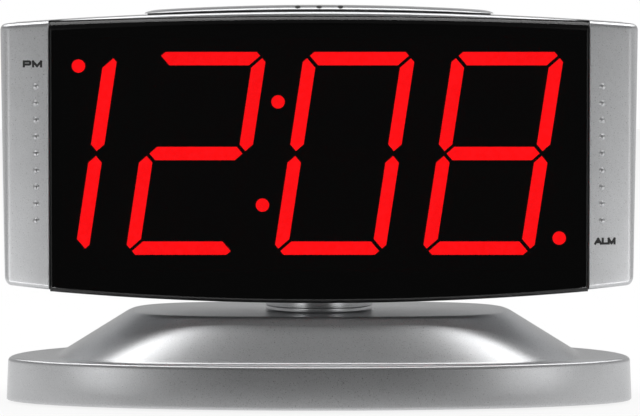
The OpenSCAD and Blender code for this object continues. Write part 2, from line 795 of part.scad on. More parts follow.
module rear_cover() {
  color("silver") difference() {
    union() {
      difference() {
        intersection() {
          head_solid(0);
          box_between([-far, seam_back, 0], [far, far, far]);
        }
        head_hollow();
      }
      // Posts for the rear screws
      for (x = [-1, 1], z = case_screw_z) translate([x * case_screw_x, 0, z]) intersection() {
        rod_y(screw_head_r + boss_wall, board_back, head_back);
        translate([-x * case_screw_x, 0, -z]) head_solid(head_wall / 2);
      }
      // Box that holds the coin cell
      box_between([cell_x - pocket_half - head_wall / 2, pocket_floor - head_wall / 2, cell_h - pocket_half - head_wall / 2],
        [cell_x + pocket_half + head_wall / 2, back_inside + past / 2, cell_h + pocket_half + head_wall / 2]);
      // Posts that carry the control board
      for (p = control_posts) translate([p[0], 0, p[1]]) rod_y(boss_r, control_back, back_inside + past / 2);
    }
    // Screw holes with deep heads
    for (x = [-1, 1], z = case_screw_z) translate([x * case_screw_x, 0, z]) {
      rod_y(screw_r + fit_gap, board_back - past, far);
      rod_y(screw_head_r + fit_gap, rear_screw_seat, far);
    }
    // Cell pocket and the rebate for its door
    translate([cell_x, 0, cell_h]) {
      along_y(pocket_floor, far) square(2 * pocket_half, center = true);
      along_y(head_back - door_t - fit_gap, far) square(2 * (door_half + fit_gap), center = true);
    }
    // Holes for the set buttons
    for (k = [0 : 3]) translate([button_x(k), 0, button_row_h])
      rod_y(button_r + slide_gap, back_inside - past, far);
    // Slots for the slide knobs
    for (x = slider_x) translate([x, 0, button_row_h]) along_y(back_inside - past, far)
      square([2 * (slider_room + slide_gap), slider_h + 2 * slide_gap], center = true);
    translate([sounder_right, 0, sounder_h]) along_y(back_inside - past, far) sound_slots_2d();
    translate([cord_right, 0, cord_h]) rod_y(cord_bush_r + fit_gap, back_inside - past, far);
    for (p = control_posts) translate([p[0], 0, p[1]])
      rod_y(screw_r + press_gap, control_back - past, control_back + screw_bite);
  }
}

rear_screw_seat = back_inside - screw_bite;
control_x = (button_x(0) + slider_x[1]) / 2;
control_posts = [for (side = [-1, 1])
  [control_x + side * (control_board_w / 2 - boss_r), control_centre_h - control_board_h / 2 + boss_r]];

module rear_screws() {
  color("darkgray") for (x = [-1, 1], z = case_screw_z)
    screw_y(x * case_screw_x, z, board_front - screw_bite + fit_gap, rear_screw_seat);
}

// Window and display

module window() {
  color([0.05, 0.02, 0.02]) intersection() {
    linear_extrude(far) difference() {
      translate([0, front_bow_r - head_front]) circle(front_bow_r, $fn = 256);
      translate([0, front_bow_r - head_front]) circle(front_bow_r - window_t, $fn = 256);
    }
    box_between([-window_half_w, -far, 0], [window_half_w, 0, far]);
    along_y(-far, far) polygon(window_elevation());
  }
}

function slanted(p) = [p[0] + p[1] * tan(digit_slant), p[1]];

// Segment outlines about a digit's centre. Names follow the usual a to g, clockwise from the top.
mitre = segment_gap / sqrt(2);
corner_tip = (segment_corner - mitre) / 2;

function top_segment(half_w, half_h) = [
  [half_w - segment_corner, half_h],
  [half_w - segment_corner + corner_tip, half_h - corner_tip],
  [half_w - segment_t - mitre, half_h - segment_t],
  [-half_w + segment_t + mitre, half_h - segment_t],
  [-half_w + segment_corner - corner_tip, half_h - corner_tip],
  [-half_w + segment_corner, half_h]];

function right_segment(half_w, half_h) = [
  [half_w, half_h - segment_corner],
  [half_w, segment_t / 2 + mitre],
  [half_w - segment_t / 2, mitre],
  [half_w - segment_t, segment_t / 2 + mitre],
  [half_w - segment_t, half_h - segment_t - mitre],
  [half_w - corner_tip, half_h - segment_corner + corner_tip]];

function middle_segment(half_w) = let (end = half_w - segment_t / 2 - mitre, shoulder = end - segment_t / 2) [
  [end, 0], [shoulder, -segment_t / 2], [-shoulder, -segment_t / 2],
  [-end, 0], [-shoulder, segment_t / 2], [shoulder, segment_t / 2]];

function flipped(points, x, z) = [for (p = points) [p[0] * x, p[1] * z]];

function segment(name) = let (w = digit_w / 2, h = digit_h / 2)
  name == "a" ? top_segment(w, h) :
  name == "b" ? right_segment(w, h) :
  name == "c" ? flipped(right_segment(w, h), 1, -1) :
  name == "d" ? flipped(top_segment(w, h), 1, -1) :
  name == "e" ? flipped(right_segment(w, h), -1, -1) :
  name == "f" ? flipped(right_segment(w, h), -1, 1) :
  middle_segment(w);

// The time shown, and the segments that each place has left dark
shown = ["bc", "abged", "abcdef", "abcdefg"];
dark = ["", "cf", "g", ""];
function digit_x(k) = last_digit_right - (3 - k) * digit_pitch;
colon_x = (digit_x(1) + digit_x(2)) / 2;

module segments(names) {
  for (k = [0 : 3], name = names[k]) translate([digit_x(k), 0, digit_centre_h])
    along_y(display_front, display_front + segment_depth)
      polygon([for (p = segment(name)) slanted(p)]);
}

module lit_segments() {
  color("red") segments(shown);
}

module unlit_segments() {
  color([0.1, 0.02, 0.02]) segments(dark);
}

dot_places = [
  [colon_x + slanted([0, colon_rise])[0], colon_rise],
  [colon_x + slanted([0, -colon_rise])[0], -colon_rise],
  [-indicator_side, evening_rise],
  [indicator_side, -alarm_drop]];

module lit_dots() {
  color("red") for (p = dot_places) translate([p[0], 0, digit_centre_h + p[1]])
    rod_y(dot_r, display_front, display_front + segment_depth);
}

module display_block() {
  color([0.07, 0.07, 0.07]) difference() {
    box_between([-display_half_w, display_front, digit_centre_h - display_h / 2],
      [display_half_w, board_front, digit_centre_h + display_h / 2]);
    lit_segments();
    unlit_segments();
    lit_dots();
  }
}

// Boards and what is on them

module main_board() {
  color("darkgreen") difference() {
    along_y(board_front, board_back) translate([0, digit_centre_h])
      square([2 * board_half_w, board_h], center = true);
    for (x = [-1, 1], z = case_screw_z) translate([x * case_screw_x, 0, z])
      rod_y(screw_r + fit_gap, board_front - past, board_back + past);
  }
}

module clock_chip() {
  color([0.1, 0.1, 0.1]) translate([0, board_back, digit_centre_h]) {
    box_between([-chip_w / 2, 0, -chip_h / 2], [chip_w / 2, chip_d, chip_h / 2]);
    for (k = [0 : chip_pins - 1]) translate([(k - (chip_pins - 1) / 2) * pin_pitch, 0, 0])
      box_between([-pin_w / 2, 0, -chip_h / 2 - pin_w], [pin_w / 2, chip_d / 2, chip_h / 2 + pin_w]);
  }
}

module capacitors() {
  color("navy") for (k = [-1 : 1]) translate([-capacitor_left, 0, digit_centre_h + k * capacitor_pitch])
    rod_y(capacitor_r, board_back, board_back + capacitor_d);
}

module snooze_switch() {
  color([0.15, 0.15, 0.15]) difference() {
    box_between([-snooze_switch_w / 2, board_back, snooze_switch_top - snooze_switch_h],
      [snooze_switch_w / 2, board_back + snooze_switch_d, snooze_switch_top]);
    translate([0, snooze_stem_y, snooze_switch_top - snooze_switch_h + past])
      cylinder(r = plunger_r + turn_gap, h = snooze_switch_h);
  }
}

header_w = header_pins * pin_pitch;

module board_header() {
  color([0.08, 0.08, 0.08]) translate([control_x, 0, control_centre_h - control_board_h / 2 + pin_pitch])
    box_between([-header_w / 2, board_back, -pin_pitch / 2], [header_w / 2, control_front, pin_pitch / 2]);
}

core_front = board_back + coil_out;
core_back = core_front + core_d;
core_leg_w = core_w - 2 * core_side_w - 2 * core_window_w;
core_window_h = core_h - 2 * core_side_w;

// A laminated core with two windows, round whose middle leg the coil is wound
module transformer_core() {
  color([0.35, 0.35, 0.37]) translate([core_right, 0, core_z]) difference() {
    along_y(core_front, core_back) square([core_w, core_h], center = true);
    for (side = [-1, 1]) translate([side * (core_leg_w + core_window_w) / 2, 0, 0])
      along_y(core_front - past, core_back + past) square([core_window_w, core_window_h], center = true);
  }
}

module transformer_coil() {
  coil_w = core_leg_w + 2 * core_window_w - 2 * fit_gap;
  coil_h = core_window_h - 2 * fit_gap;
  color("goldenrod") translate([core_right, 0, core_z]) difference() {
    along_y(board_back, core_back + coil_out) square([coil_w, coil_h], center = true);
    along_y(core_front - fit_gap, core_back + fit_gap)
      square([core_leg_w + 2 * fit_gap, coil_h + 2 * past], center = true);
  }
}

module control_board() {
  color("darkgreen") difference() {
    along_y(control_front, control_back) translate([control_x, control_centre_h])
      square([control_board_w, control_board_h], center = true);
    for (p = control_posts) translate([p[0], 0, p[1]]) rod_y(screw_r + fit_gap, control_front - past, far);
  }
}

module control_screws() {
  color("darkgray") for (p = control_posts) translate([p[0], 0, p[1]]) {
    rod_y(screw_r, control_front, control_back + screw_bite - fit_gap);
    rod_y(screw_head_r, control_front - screw_head_h, control_front);
  }
}

module set_switches() {
  color([0.12, 0.12, 0.12]) for (k = [0 : 3]) translate([button_x(k), 0, button_row_h]) difference() {
    along_y(control_back, switch_back) square(switch_side, center = true);
    rod_y(plunger_r + turn_gap, control_back + past / 2, far);
  }
}

module slide_switches() {
  color("silver") for (x = slider_x) translate([x, 0, button_row_h]) difference() {
    along_y(control_back, switch_back)
      square([2 * slider_room + 3, slider_h + 2.4], center = true);
    along_y(control_back + past, far)
      square([2 * (slider_room + slide_gap) - 1, slider_neck_h + 2 * slide_gap], center = true);
  }
}

module sounder() {
  color([0.1, 0.1, 0.1]) translate([sounder_right, 0, sounder_h]) {
    rod_y(sounder_r, back_inside - sounder_d, back_inside - press_gap);
  }
}

module coin_cell() {
  color("lightgray") translate([cell_x, 0, cell_h])
    rod_y(cell_r, pocket_floor + pocket_gap, pocket_floor + pocket_gap + cell_t);
}

module cell_contacts() {
  color("gold") for (side = [-1, 1])
    translate([cell_x - cell_r * 0.2, pocket_floor, cell_h + side * cell_r * 0.5 - 1.5])
      cube([cell_r * 0.4, pocket_gap, 3]);
}

module cord_bush() {
  flange_seat = head_back + fit_gap;
  color([0.08, 0.08, 0.08]) translate([cord_right, 0, cord_h]) difference() {
    union() {
      rod_y(cord_bush_r, back_inside - cord_flange, flange_seat + cord_flange);
      rod_y(cord_bush_r + cord_flange, flange_seat, flange_seat + cord_flange);
    }
    rod_y(cord_hole_r, -far, far);
  }
}

// Pieces that move

// Snooze bar: an arched top, lower at both ends, on a skirt that runs in the slot
crown_rise = snooze_rise - snooze_end_rise + pow(snooze_half_l, 2) / (2 * top_arch_r);
crown_r = (pow(snooze_half_l, 2) + pow(crown_rise, 2)) / (2 * crown_rise);
snooze_bottom = head_top - snooze_skirt;

// Section of the bar across its length, with rounded top edges
module snooze_profile() {
  top = head_top + snooze_rise - snooze_round;
  translate([snooze_front, snooze_bottom]) square([snooze_d, top - snooze_bottom]);
  hull() for (y = [snooze_front + snooze_round, snooze_back - snooze_round]) translate([y, top]) circle(snooze_round);
}

module snooze_bar() {
  stem_top = snooze_switch_top + snooze_travel + slide_gap;
  color("silver") difference() {
    union() {
      intersection() {
        difference() {
          translate([0, 0, snooze_bottom]) linear_extrude(far) slot_2d(snooze_half_l, snooze_front, snooze_back);
          translate([0, 0, snooze_bottom - past]) linear_extrude(snooze_skirt - snooze_wall + past)
            slot_2d(snooze_half_l - snooze_wall, snooze_front + snooze_wall, snooze_back - snooze_wall);
        }
        translate([0, 0, head_top + snooze_rise - crown_r]) along_y(-far, far) circle(crown_r, $fn = 256);
        along_x(-far, far) snooze_profile();
      }
      translate([0, snooze_stem_y, stem_top]) cylinder(r = snooze_post_r, h = head_top - snooze_wall / 2 - stem_top);
    }
    for (k = [-1 : 1])
      translate([k * dimple_pitch, snooze_front + snooze_round * (1 - sin(dimple_tilt)),
        head_top + snooze_rise - snooze_round * (1 - cos(dimple_tilt))]) sphere(dimple_r, $fn = 24);
  }
}

module snooze_stem() {
  stem_top = snooze_switch_top + snooze_travel + slide_gap;
  stem_low = snooze_switch_top - snooze_switch_h + past + snooze_travel + slide_gap;
  color("white") translate([0, snooze_stem_y, stem_low]) cylinder(r = plunger_r, h = stem_top - stem_low);
}

// One set button: a round cap with a flange inside the cover and a rod that works its switch
module set_button(k) {
  rod_tip = control_back + past / 2 + button_travel + slide_gap;
  color([0.12, 0.12, 0.13]) translate([button_x(k), 0, button_row_h]) {
    rod_y(button_r, flange_front, head_back + button_out);
    rod_y(button_r + button_flange, flange_front, flange_back);
    rod_y(plunger_r, rod_tip, flange_back);
  }
}

module time_button() {
  set_button(0);
}

module alarm_button() {
  set_button(1);
}

module hour_button() {
  set_button(2);
}

module minute_button() {
  set_button(3);
}

// One slide knob, at the left end of its travel
module slider(k) {
  x = slider_x[k] - slider_travel / 2;
  color([0.12, 0.12, 0.13]) translate([x, 0, button_row_h]) {
    along_y(switch_back + fit_gap, head_back + slider_out)
      square([slider_w, slider_h], center = true);
    along_y(control_back + past + fit_gap, switch_back + past)
      square([slider_w - 1, slider_neck_h], center = true);
  }
}

module alarm_slider() {
  slider(0);
}

module dimmer_slider() {
  slider(1);
}

module battery_door() {
  grip_ribs = 3;
  color("silver") translate([cell_x, 0, cell_h]) difference() {
    along_y(head_back - door_t, head_back) square(2 * door_half, center = true);
    for (k = [0 : grip_ribs - 1]) translate([0, 0, door_half * 0.6 - 2 * k])
      along_y(head_back - door_t / 3, far) square([door_half, 0.8], center = true);
  }
}

base_shell();
base_plate();
rubber_feet();
base_screws();
swivel_washer();
swivel_neck();
neck_screws();
retainer_disc();
retainer_screw();
front_case();
rear_cover();
rear_screws();
window();
display_block();
lit_segments();
unlit_segments();
lit_dots();
main_board();
clock_chip();
capacitors();
snooze_switch();
board_header();
transformer_core();
transformer_coil();
control_board();
control_screws();
set_switches();
slide_switches();
sounder();
coin_cell();
cell_contacts();
cord_bush();
snooze_bar();
snooze_stem();
time_button();
alarm_button();
hour_button();
minute_button();
alarm_slider();
dimmer_slider();
battery_door();
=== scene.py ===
"""Looks of the digital alarm clock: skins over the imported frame, materials, studio light and camera."""
import json
from math import atan2, cos, hypot, pi, radians, sin, sqrt, tan

import bmesh
import bpy
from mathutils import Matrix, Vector


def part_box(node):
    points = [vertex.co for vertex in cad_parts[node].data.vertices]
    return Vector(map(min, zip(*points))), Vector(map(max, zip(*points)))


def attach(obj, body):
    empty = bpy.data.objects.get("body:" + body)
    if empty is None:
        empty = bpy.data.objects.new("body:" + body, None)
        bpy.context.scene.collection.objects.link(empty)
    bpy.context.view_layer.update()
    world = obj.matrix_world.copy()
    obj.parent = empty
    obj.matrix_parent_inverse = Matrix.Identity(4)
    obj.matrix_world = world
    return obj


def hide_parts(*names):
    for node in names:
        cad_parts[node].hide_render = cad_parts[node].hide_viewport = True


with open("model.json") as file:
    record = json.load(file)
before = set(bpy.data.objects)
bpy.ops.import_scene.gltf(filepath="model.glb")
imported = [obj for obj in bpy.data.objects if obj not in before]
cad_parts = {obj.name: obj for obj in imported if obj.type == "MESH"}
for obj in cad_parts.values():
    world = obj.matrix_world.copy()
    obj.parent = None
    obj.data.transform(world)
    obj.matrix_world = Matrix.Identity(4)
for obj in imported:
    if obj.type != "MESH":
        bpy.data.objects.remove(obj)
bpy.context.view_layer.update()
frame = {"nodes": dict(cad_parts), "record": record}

MM = 0.001

# Sizes of the base; all sizes are in millimetres
BASE_HALF_W = 69.8
BASE_FRONT_REACH = 24.4
BASE_BACK_REACH = 41.0
BASE_SQUARENESS = 2.0
BASE_WIDEST_Y = (BASE_FRONT_REACH - BASE_BACK_REACH) / 2
RIM_BOTTOM = 0.4
RIM_H = 10.0
RIM_LEAN = 0.35
RIM_EDGE_R = 0.9
RIM_LIP_R = 0.4
BASE_WALL = 2.0
BASE_WALL_EDGE = 0.3
BASE_WALL_TOP = 1.9
DOME_SQUARENESS = 3.0
DOME_FOOT_SQUARENESS = 3.6
# Half width, reach to the front and reach to the back, at the dome's foot and at its flat top
DOME_FOOT = (58.5, 28.0, 25.8)
PLATEAU = (42.5, 21.4, 23.0)
PLATEAU_H = 19.9
PLATEAU_TURN = 1.0
FOOT_TURN = 0.6
COLLAR_R = 12.0
COLLAR_TOP = 21.0
COLLAR_BORE_R = 8.55
COLLAR_BORE_DEPTH = 3.0
COLLAR_FOOT = 0.3
COLLAR_EDGE_R = 0.2

# Sizes of the head
HEAD_BOTTOM = 23.1
HEAD_TOP = 87.0
HEAD_HALF_W = 70.0
HEAD_FRONT = 24.0
HEAD_BACK = 20.0
HEAD_MID_H = (HEAD_BOTTOM + HEAD_TOP) / 2
FRONT_BOW_R = 300.0
BOW_CENTRE_Y = FRONT_BOW_R - HEAD_FRONT
TOP_ARCH_R = 900.0
BOTTOM_ARCH_R = 700.0
CHEEK_CORNER_R = 3.0
PLAN_TAPER = radians(3.0)
SIDE_LEAN = radians(0.9)
BACK_SLOPE = tan(radians(13.0))
TOP_SLOPE_START = 3.0
SEAM_Y = 13.0
SEAM_EDGE_R = 0.3
SEAM_DEPTH = 1.5
TOP_EDGE_R = 1.3
FRONT_BOTTOM_EDGE_R = 1.0
SIDE_BOTTOM_EDGE_R = 3.0
EDGE_FLAT = 0.5

# Sizes of the window and of the display behind it
WINDOW_HALF_W = 59.4
WINDOW_GAP = 0.1
WINDOW_T = 2.5
WINDOW_ARCH_R = 830.0
WINDOW_TOP_ARCH_R = 1400.0
WINDOW_TOP_DROP = 0.8
WINDOW_EDGE_R = 2.4
WINDOW_FOOT_R = 1.2
WINDOW_SIDE_R = 0.5
WINDOW_BACK_STRIP = 0.02
POCKET_FLOOR = WINDOW_T + WINDOW_GAP
POCKET_CHAMFER = 0.2
POCKET_EDGE_R = 1.0
DISPLAY_HALF_W = 57.3
DISPLAY_LOW = 29.9
DISPLAY_HIGH = 81.5
DIGIT_CENTRE_H = 55.7

# Sizes of the snooze bar and its slot
SNOOZE_HALF_L = 39.0
SNOOZE_GAP = 0.3
SNOOZE_RISE = 1.4
SNOOZE_END_RISE = 1.0
SNOOZE_RUN = 3.6
SNOOZE_TOP_START = 4.5
SNOOZE_RIDGE = 0.02
SNOOZE_SKIRT = 4.0
SNOOZE_LIP_H = 0.32
SNOOZE_GROOVE_DEPTH = 0.9
SNOOZE_GROOVE_LOW = 1.4
SNOOZE_LIP_INSET = 0.25
SLOT_EDGE_R = 0.3
SLOT_DEPTH = 3.0
DIMPLE_R = 0.62
DIMPLE_PITCH = 4.7
DIMPLE_TILT = radians(20.0)
DIMPLE_TURN = radians(39.0)

# Sizes of the studs and marks on the cheeks
STUDS = 9
STUD_PITCH = 3.7
STUD_R = 0.68
STUD_OUT = 0.5
STUD_X = 62.4
STUD_FOOT_SPREAD = 1.15
STUD_FOOT_SINK = 0.03
STUD_HEM_SPREAD = 1.04
STUD_HEM_OUT = 0.02
STUD_TURN_START = 0.12
STUD_TURN_END = pi / 2 - 0.08
MARK_H = 1.55
MARK_PEN = 0.5
MARK_LIFT = 0.02
MARK_SINK = 0.05

# Mesh helpers

SHARP_ANGLE = radians(35.0)
# Material numbers of a skin that has both the paint and the dark mask, which in the snooze bar is painted
# shade
PAINTED = 0
MASK_AND_SHADE_SLOT = 1


class Skin:
    """Collects points (in millimetres) and faces, then becomes one smooth-shaded object."""

    def __init__(self, name):
        self.name = name
        self.points = []
        self.faces = []
        self.slots = []
        self.slot = PAINTED

    def ring(self, points):
        """Adds a row of points and returns their numbers."""
        first = len(self.points)
        self.points.extend(points)
        return list(range(first, len(self.points)))

    def bridge(self, low, high, closed=False):
        """Joins two rows of equal length with quads."""
        count = len(low)
        for i in range(count if closed else count - 1):
            j = (i + 1) % count
            self.face((low[i], low[j], high[j], high[i]))

    def stack(self, rows, closed=False):
        """Joins a list of rows, each a list of points, and returns their numbers."""
        numbers = [self.ring(row) for row in rows]
        for low, high in zip(numbers, numbers[1:]):
            self.bridge(low, high, closed)
        return numbers

    def face(self, corners):
        self.faces.append(corners)
        self.slots.append(self.slot)

    def finish(self, materials, smooth=True, merge=0.0005):
        """Makes the object, in metres, with merged seams and outward faces."""
        mesh = bpy.data.meshes.new(self.name)
        mesh.from_pydata([Vector(p) * MM for p in self.points], [], self.faces)
        for m in materials:
            mesh.materials.append(m)
        mesh.polygons.foreach_set("material_index", self.slots)
        bm = bmesh.new()
        bm.from_mesh(mesh)
        bmesh.ops.remove_doubles(bm, verts=bm.verts, dist=merge * MM)
        bmesh.ops.dissolve_degenerate(bm, edges=bm.edges, dist=merge * MM)
        bmesh.ops.recalc_face_normals(bm, faces=bm.faces)
        for f in bm.faces:
            f.smooth = smooth
        for e in bm.edges:
            e.smooth = e.calc_face_angle(0.0) < SHARP_ANGLE
        bm.to_mesh(mesh)
        bm.free()
        piece = bpy.data.objects.new(self.name, mesh)
        bpy.context.scene.collection.objects.link(piece)
        return piece


def weighted(piece):
    """Lets large faces set the shading, so that flats stay flat up to their rounded edges."""
    normals = piece.modifiers.new("normals", "WEIGHTED_NORMAL")
    normals.mode = "FACE_AREA"
    normals.weight = 50
    normals.keep_sharp = True
    return piece


def steps(low, high, count):
    """Evenly spaced values, both ends included."""
    return [low + (high - low) * k / count for k in range(count + 1)]


def soft_min(a, b, sharpness=6.0):
    """The smaller of two lengths, blended over a fraction of a millimetre."""
    low, gap = min(a, b), abs(a - b)
    return low - (max(0.0, 1 - gap * sharpness) ** 2) / (4 * sharpness)


def oval(half_w, front, back, front_power, back_power, centre_y, count):
    """A superellipse in plan with its own reach and squareness to the front and to the back."""
    points = []
    for k in range(count):
        c, s = cos(2 * pi * k / count), sin(2 * pi * k / count)
        power = back_power if s > 0 else front_power
        x = half_w * (abs(c) ** (2 / power)) * (1 if c >= 0 else -1)
        y = (back if s > 0 else front) * (abs(s) ** (2 / power)) * (1 if s >= 0 else -1)
        points.append((x, centre_y + y))
    return points


def at_height(outline, z):
    """An outline in plan as a row of points at one height."""
    return [(x, y, z) for x, y in outline]


def bow_y(x):
    """Depth of the head's bowed front at a place across it."""
    return BOW_CENTRE_Y - sqrt(FRONT_BOW_R ** 2 - x * x)


def top_z(x, y):
    """Height of the head's arched top, which slopes down towards the back."""
    arch = HEAD_TOP - TOP_ARCH_R + sqrt(TOP_ARCH_R ** 2 - x * x)
    return soft_min(arch, HEAD_TOP - (y - TOP_SLOPE_START) * BACK_SLOPE)


def bottom_z(x, y):
    """Height of the head's arched underside, which is the same at every depth."""
    return HEAD_BOTTOM + BOTTOM_ARCH_R - sqrt(BOTTOM_ARCH_R ** 2 - x * x)


# Materials

# Parts of a noise's range that a colour and a number are spread over
TINT_SPAN = (0.35, 0.65)
NOISE_SPAN = (0.3, 0.7)
LED_STRENGTH = 13.6


def new_material(name):
    """A material with its node tree and its shader."""
    m = bpy.data.materials.new(name)
    m.use_nodes = True
    tree = m.node_tree
    shader = tree.nodes["Principled BSDF"]
    return m, tree, shader


def noise(tree, scale, detail=3.0, roughness=0.55):
    """Noise over the object's own coordinates; scale is in cells per metre."""
    coords = tree.nodes.new("ShaderNodeTexCoord")
    node = tree.nodes.new("ShaderNodeTexNoise")
    node.inputs["Scale"].default_value = scale
    node.inputs["Detail"].default_value = detail
    node.inputs["Roughness"].default_value = roughness
    tree.links.new(coords.outputs["Object"], node.inputs["Vector"])
    return node.outputs["Fac"]


def tint(tree, source, dark, light):
    """A colour between two others, driven by a noise."""
    ramp = tree.nodes.new("ShaderNodeValToRGB")
    for stop, position, colour in zip(ramp.color_ramp.elements, TINT_SPAN, (dark, light)):
        stop.position = position
        stop.color = (*colour, 1)
    tree.links.new(source, ramp.inputs["Fac"])
    return ramp.outputs["Color"]


def map_range(tree, source, span, values, shape="LINEAR"):
    """Takes a number from one value to another over a span."""
    mapped = tree.nodes.new("ShaderNodeMapRange")
    mapped.interpolation_type = shape
    mapped.inputs["From Min"].default_value, mapped.inputs["From Max"].default_value = span
    mapped.inputs["To Min"].default_value, mapped.inputs["To Max"].default_value = values
    tree.links.new(source, mapped.inputs["Value"])
    return mapped.outputs["Result"]


def spread(tree, source, low, high):
    """A number between two others, driven by a noise."""
    return map_range(tree, source, NOISE_SPAN, (low, high))


def bump(tree, source, depth_mm, strength):
    """A surface normal from a noise, with a depth in millimetres."""
    node = tree.nodes.new("ShaderNodeBump")
    node.inputs["Strength"].default_value = strength
    node.inputs["Distance"].default_value = depth_mm * MM
    tree.links.new(source, node.inputs["Height"])
    return node.outputs["Normal"]


def moulded(name, dark, light, roughness, grain, depth_mm, metallic=0.0, strength=0.4):
    """A textured finish: fine grain in the colour, the gloss and the surface."""
    m, tree, shader = new_material(name)
    fine = noise(tree, grain)
    tree.links.new(tint(tree, fine, dark, light), shader.inputs["Base Color"])
    tree.links.new(spread(tree, fine, *roughness), shader.inputs["Roughness"])
    tree.links.new(bump(tree, fine, depth_mm, strength), shader.inputs["Normal"])
    shader.inputs["Metallic"].default_value = metallic
    return m


def silver_paint():
    """Satin silver paint with fine metal flakes."""
    m, tree, shader = new_material("silver_paint")
    flakes = noise(tree, scale=5200.0, detail=2.0, roughness=0.6)
    cloud = noise(tree, scale=90.0, detail=2.0)
    paint = tint(tree, flakes, dark=(0.54, 0.545, 0.555), light=(0.63, 0.635, 0.645))
    shade = tint(tree, cloud, dark=(0.96, 0.96, 0.96), light=(1, 1, 1))
    mix = tree.nodes.new("ShaderNodeMix")
    mix.data_type = "RGBA"
    mix.blend_type = "MULTIPLY"
    mix.inputs["Factor"].default_value = 1.0
    tree.links.new(paint, mix.inputs["A"])
    tree.links.new(shade, mix.inputs["B"])
    tree.links.new(mix.outputs["Result"], shader.inputs["Base Color"])
    tree.links.new(spread(tree, flakes, low=0.27, high=0.35), shader.inputs["Roughness"])
    tree.links.new(bump(tree, flakes, depth_mm=0.006, strength=0.3), shader.inputs["Normal"])
    shader.inputs["Metallic"].default_value = 0.9
    return m


def smoked_acrylic():
    """Polished smoked sheet, with the faint haze that handling leaves."""
    m, tree, shader = new_material("smoked_acrylic")
    haze = noise(tree, scale=60.0, detail=4.0)
    smoke = tint(tree, haze, dark=(0.077, 0.072, 0.072), light=(0.083, 0.078, 0.078))
    tree.links.new(smoke, shader.inputs["Base Color"])
    tree.links.new(spread(tree, haze, low=0.0, high=0.02), shader.inputs["Roughness"])
    shader.inputs["Transmission Weight"].default_value = 1.0
    shader.inputs["IOR"].default_value = 1.49
    shader.inputs["Specular IOR Level"].default_value = 0.7
    return m


def lit_red():
    """Lit diffuser: even red with a slight grain."""
    m, tree, shader = new_material("lit_red")
    grain = noise(tree, scale=900.0, detail=2.0)
    body = tint(tree, grain, dark=(0.8, 0.01, 0.01), light=(0.9, 0.02, 0.02))
    glow = tint(tree, grain, dark=(0.97, 0.003, 0.005), light=(1.0, 0.005, 0.008))
    tree.links.new(body, shader.inputs["Base Color"])
    tree.links.new(glow, shader.inputs["Emission Color"])
    shader.inputs["Emission Strength"].default_value = LED_STRENGTH
    shader.inputs["Roughness"].default_value = 0.5
    return m


SILVER = silver_paint()
WINDOW = smoked_acrylic()
LIT = lit_red()
# Name, dark and light colour, span of roughness, grain in cells per metre, depth of the grain, and metal
UNLIT = moulded("unlit_red", (0.05, 0.008, 0.008), (0.07, 0.012, 0.012), (0.45, 0.6), 1200.0, 0.01)
BLACK = moulded("black_plastic", (0.018, 0.018, 0.019), (0.032, 0.032, 0.034), (0.38, 0.52), 2600.0, 0.03)
# The black mask is the window's dark border, and also painted shade in the groove under the snooze bar's lip
MASK_AND_SHADE = moulded("black_mask_and_painted_shade", (0.008, 0.008, 0.008), (0.014, 0.014, 0.014), (0.5, 0.65), 1800.0, 0.01)
GREY = moulded("grey_plastic", (0.12, 0.12, 0.127), (0.17, 0.17, 0.18), (0.42, 0.58), 2200.0, 0.04)
NYLON = moulded("white_nylon", (0.78, 0.78, 0.74), (0.86, 0.86, 0.83), (0.35, 0.5), 1500.0, 0.01)
RUBBER = moulded("rubber", (0.022, 0.022, 0.022), (0.04, 0.04, 0.04), (0.7, 0.9), 2400.0, 0.05)
STEEL = moulded("zinc_steel", (0.5, 0.5, 0.48), (0.66, 0.66, 0.65), (0.22, 0.42), 1600.0, 0.006, 1.0)
BOARD = moulded("board_green", (0.012, 0.12, 0.045), (0.022, 0.17, 0.065), (0.3, 0.45), 1400.0, 0.01)
IRON = moulded("core_iron", (0.2, 0.2, 0.21), (0.33, 0.33, 0.35), (0.4, 0.6), 1400.0, 0.03, 1.0)
TAPE = moulded("coil_tape", (0.66, 0.46, 0.07), (0.8, 0.6, 0.13), (0.3, 0.5), 800.0, 0.02)
BRASS = moulded("contact_brass", (0.7, 0.52, 0.2), (0.85, 0.68, 0.3), (0.2, 0.35), 1500.0, 0.005, 1.0)
SLEEVE = moulded("capacitor_blue", (0.015, 0.03, 0.15), (0.025, 0.05, 0.2), (0.25, 0.35), 700.0, 0.01)
# The black ink prints the marks, and also paints the shade in the snooze bar's dimples
INK_AND_SHADE = moulded("black_ink_and_painted_shade", (0.006, 0.006, 0.006), (0.012, 0.012, 0.012), (0.4, 0.5), 3000.0, 0.003)

SLOT_LOOKS = {
    "silver_paint": SILVER, "smoked_window": WINDOW, "lit_red": LIT, "unlit_red": UNLIT,
    "black_plastic": BLACK, "grey_plastic": GREY, "white_nylon": NYLON, "rubber": RUBBER, "steel": STEEL,
    "board_green": BOARD, "core_iron": IRON, "coil_tape": TAPE, "contact_brass": BRASS,
    "capacitor_blue": SLEEVE,
}

# Frame nodes that stay

WELD_GAP = 0.01
NODE_EDGE_R = 0.15
NODE_EDGE_ANGLE = radians(38.0)
SHARP_NODES = {"lit_segments", "unlit_segments", "lit_dots", "display_block", "main_board", "control_board"}


def dress(node, slot):
    """Gives a frame node its finish, softened edges and even shading."""
    piece = frame["nodes"][node]
    piece.data.materials.clear()
    piece.data.materials.append(SLOT_LOOKS[slot])
    weld = piece.modifiers.new("weld", "WELD")
    weld.merge_threshold = WELD_GAP * MM
    if node not in SHARP_NODES:
        edge = piece.modifiers.new("edges", "BEVEL")
        edge.width = NODE_EDGE_R * MM
        edge.segments = 2
        edge.limit_method = "ANGLE"
        edge.angle_limit = NODE_EDGE_ANGLE
        edge.harden_normals = False
    weighted(piece)


for part in frame["record"]["subparts"]:
    dress(part["node"], part["material_slot"])

# Base

OVAL_STEPS = 256
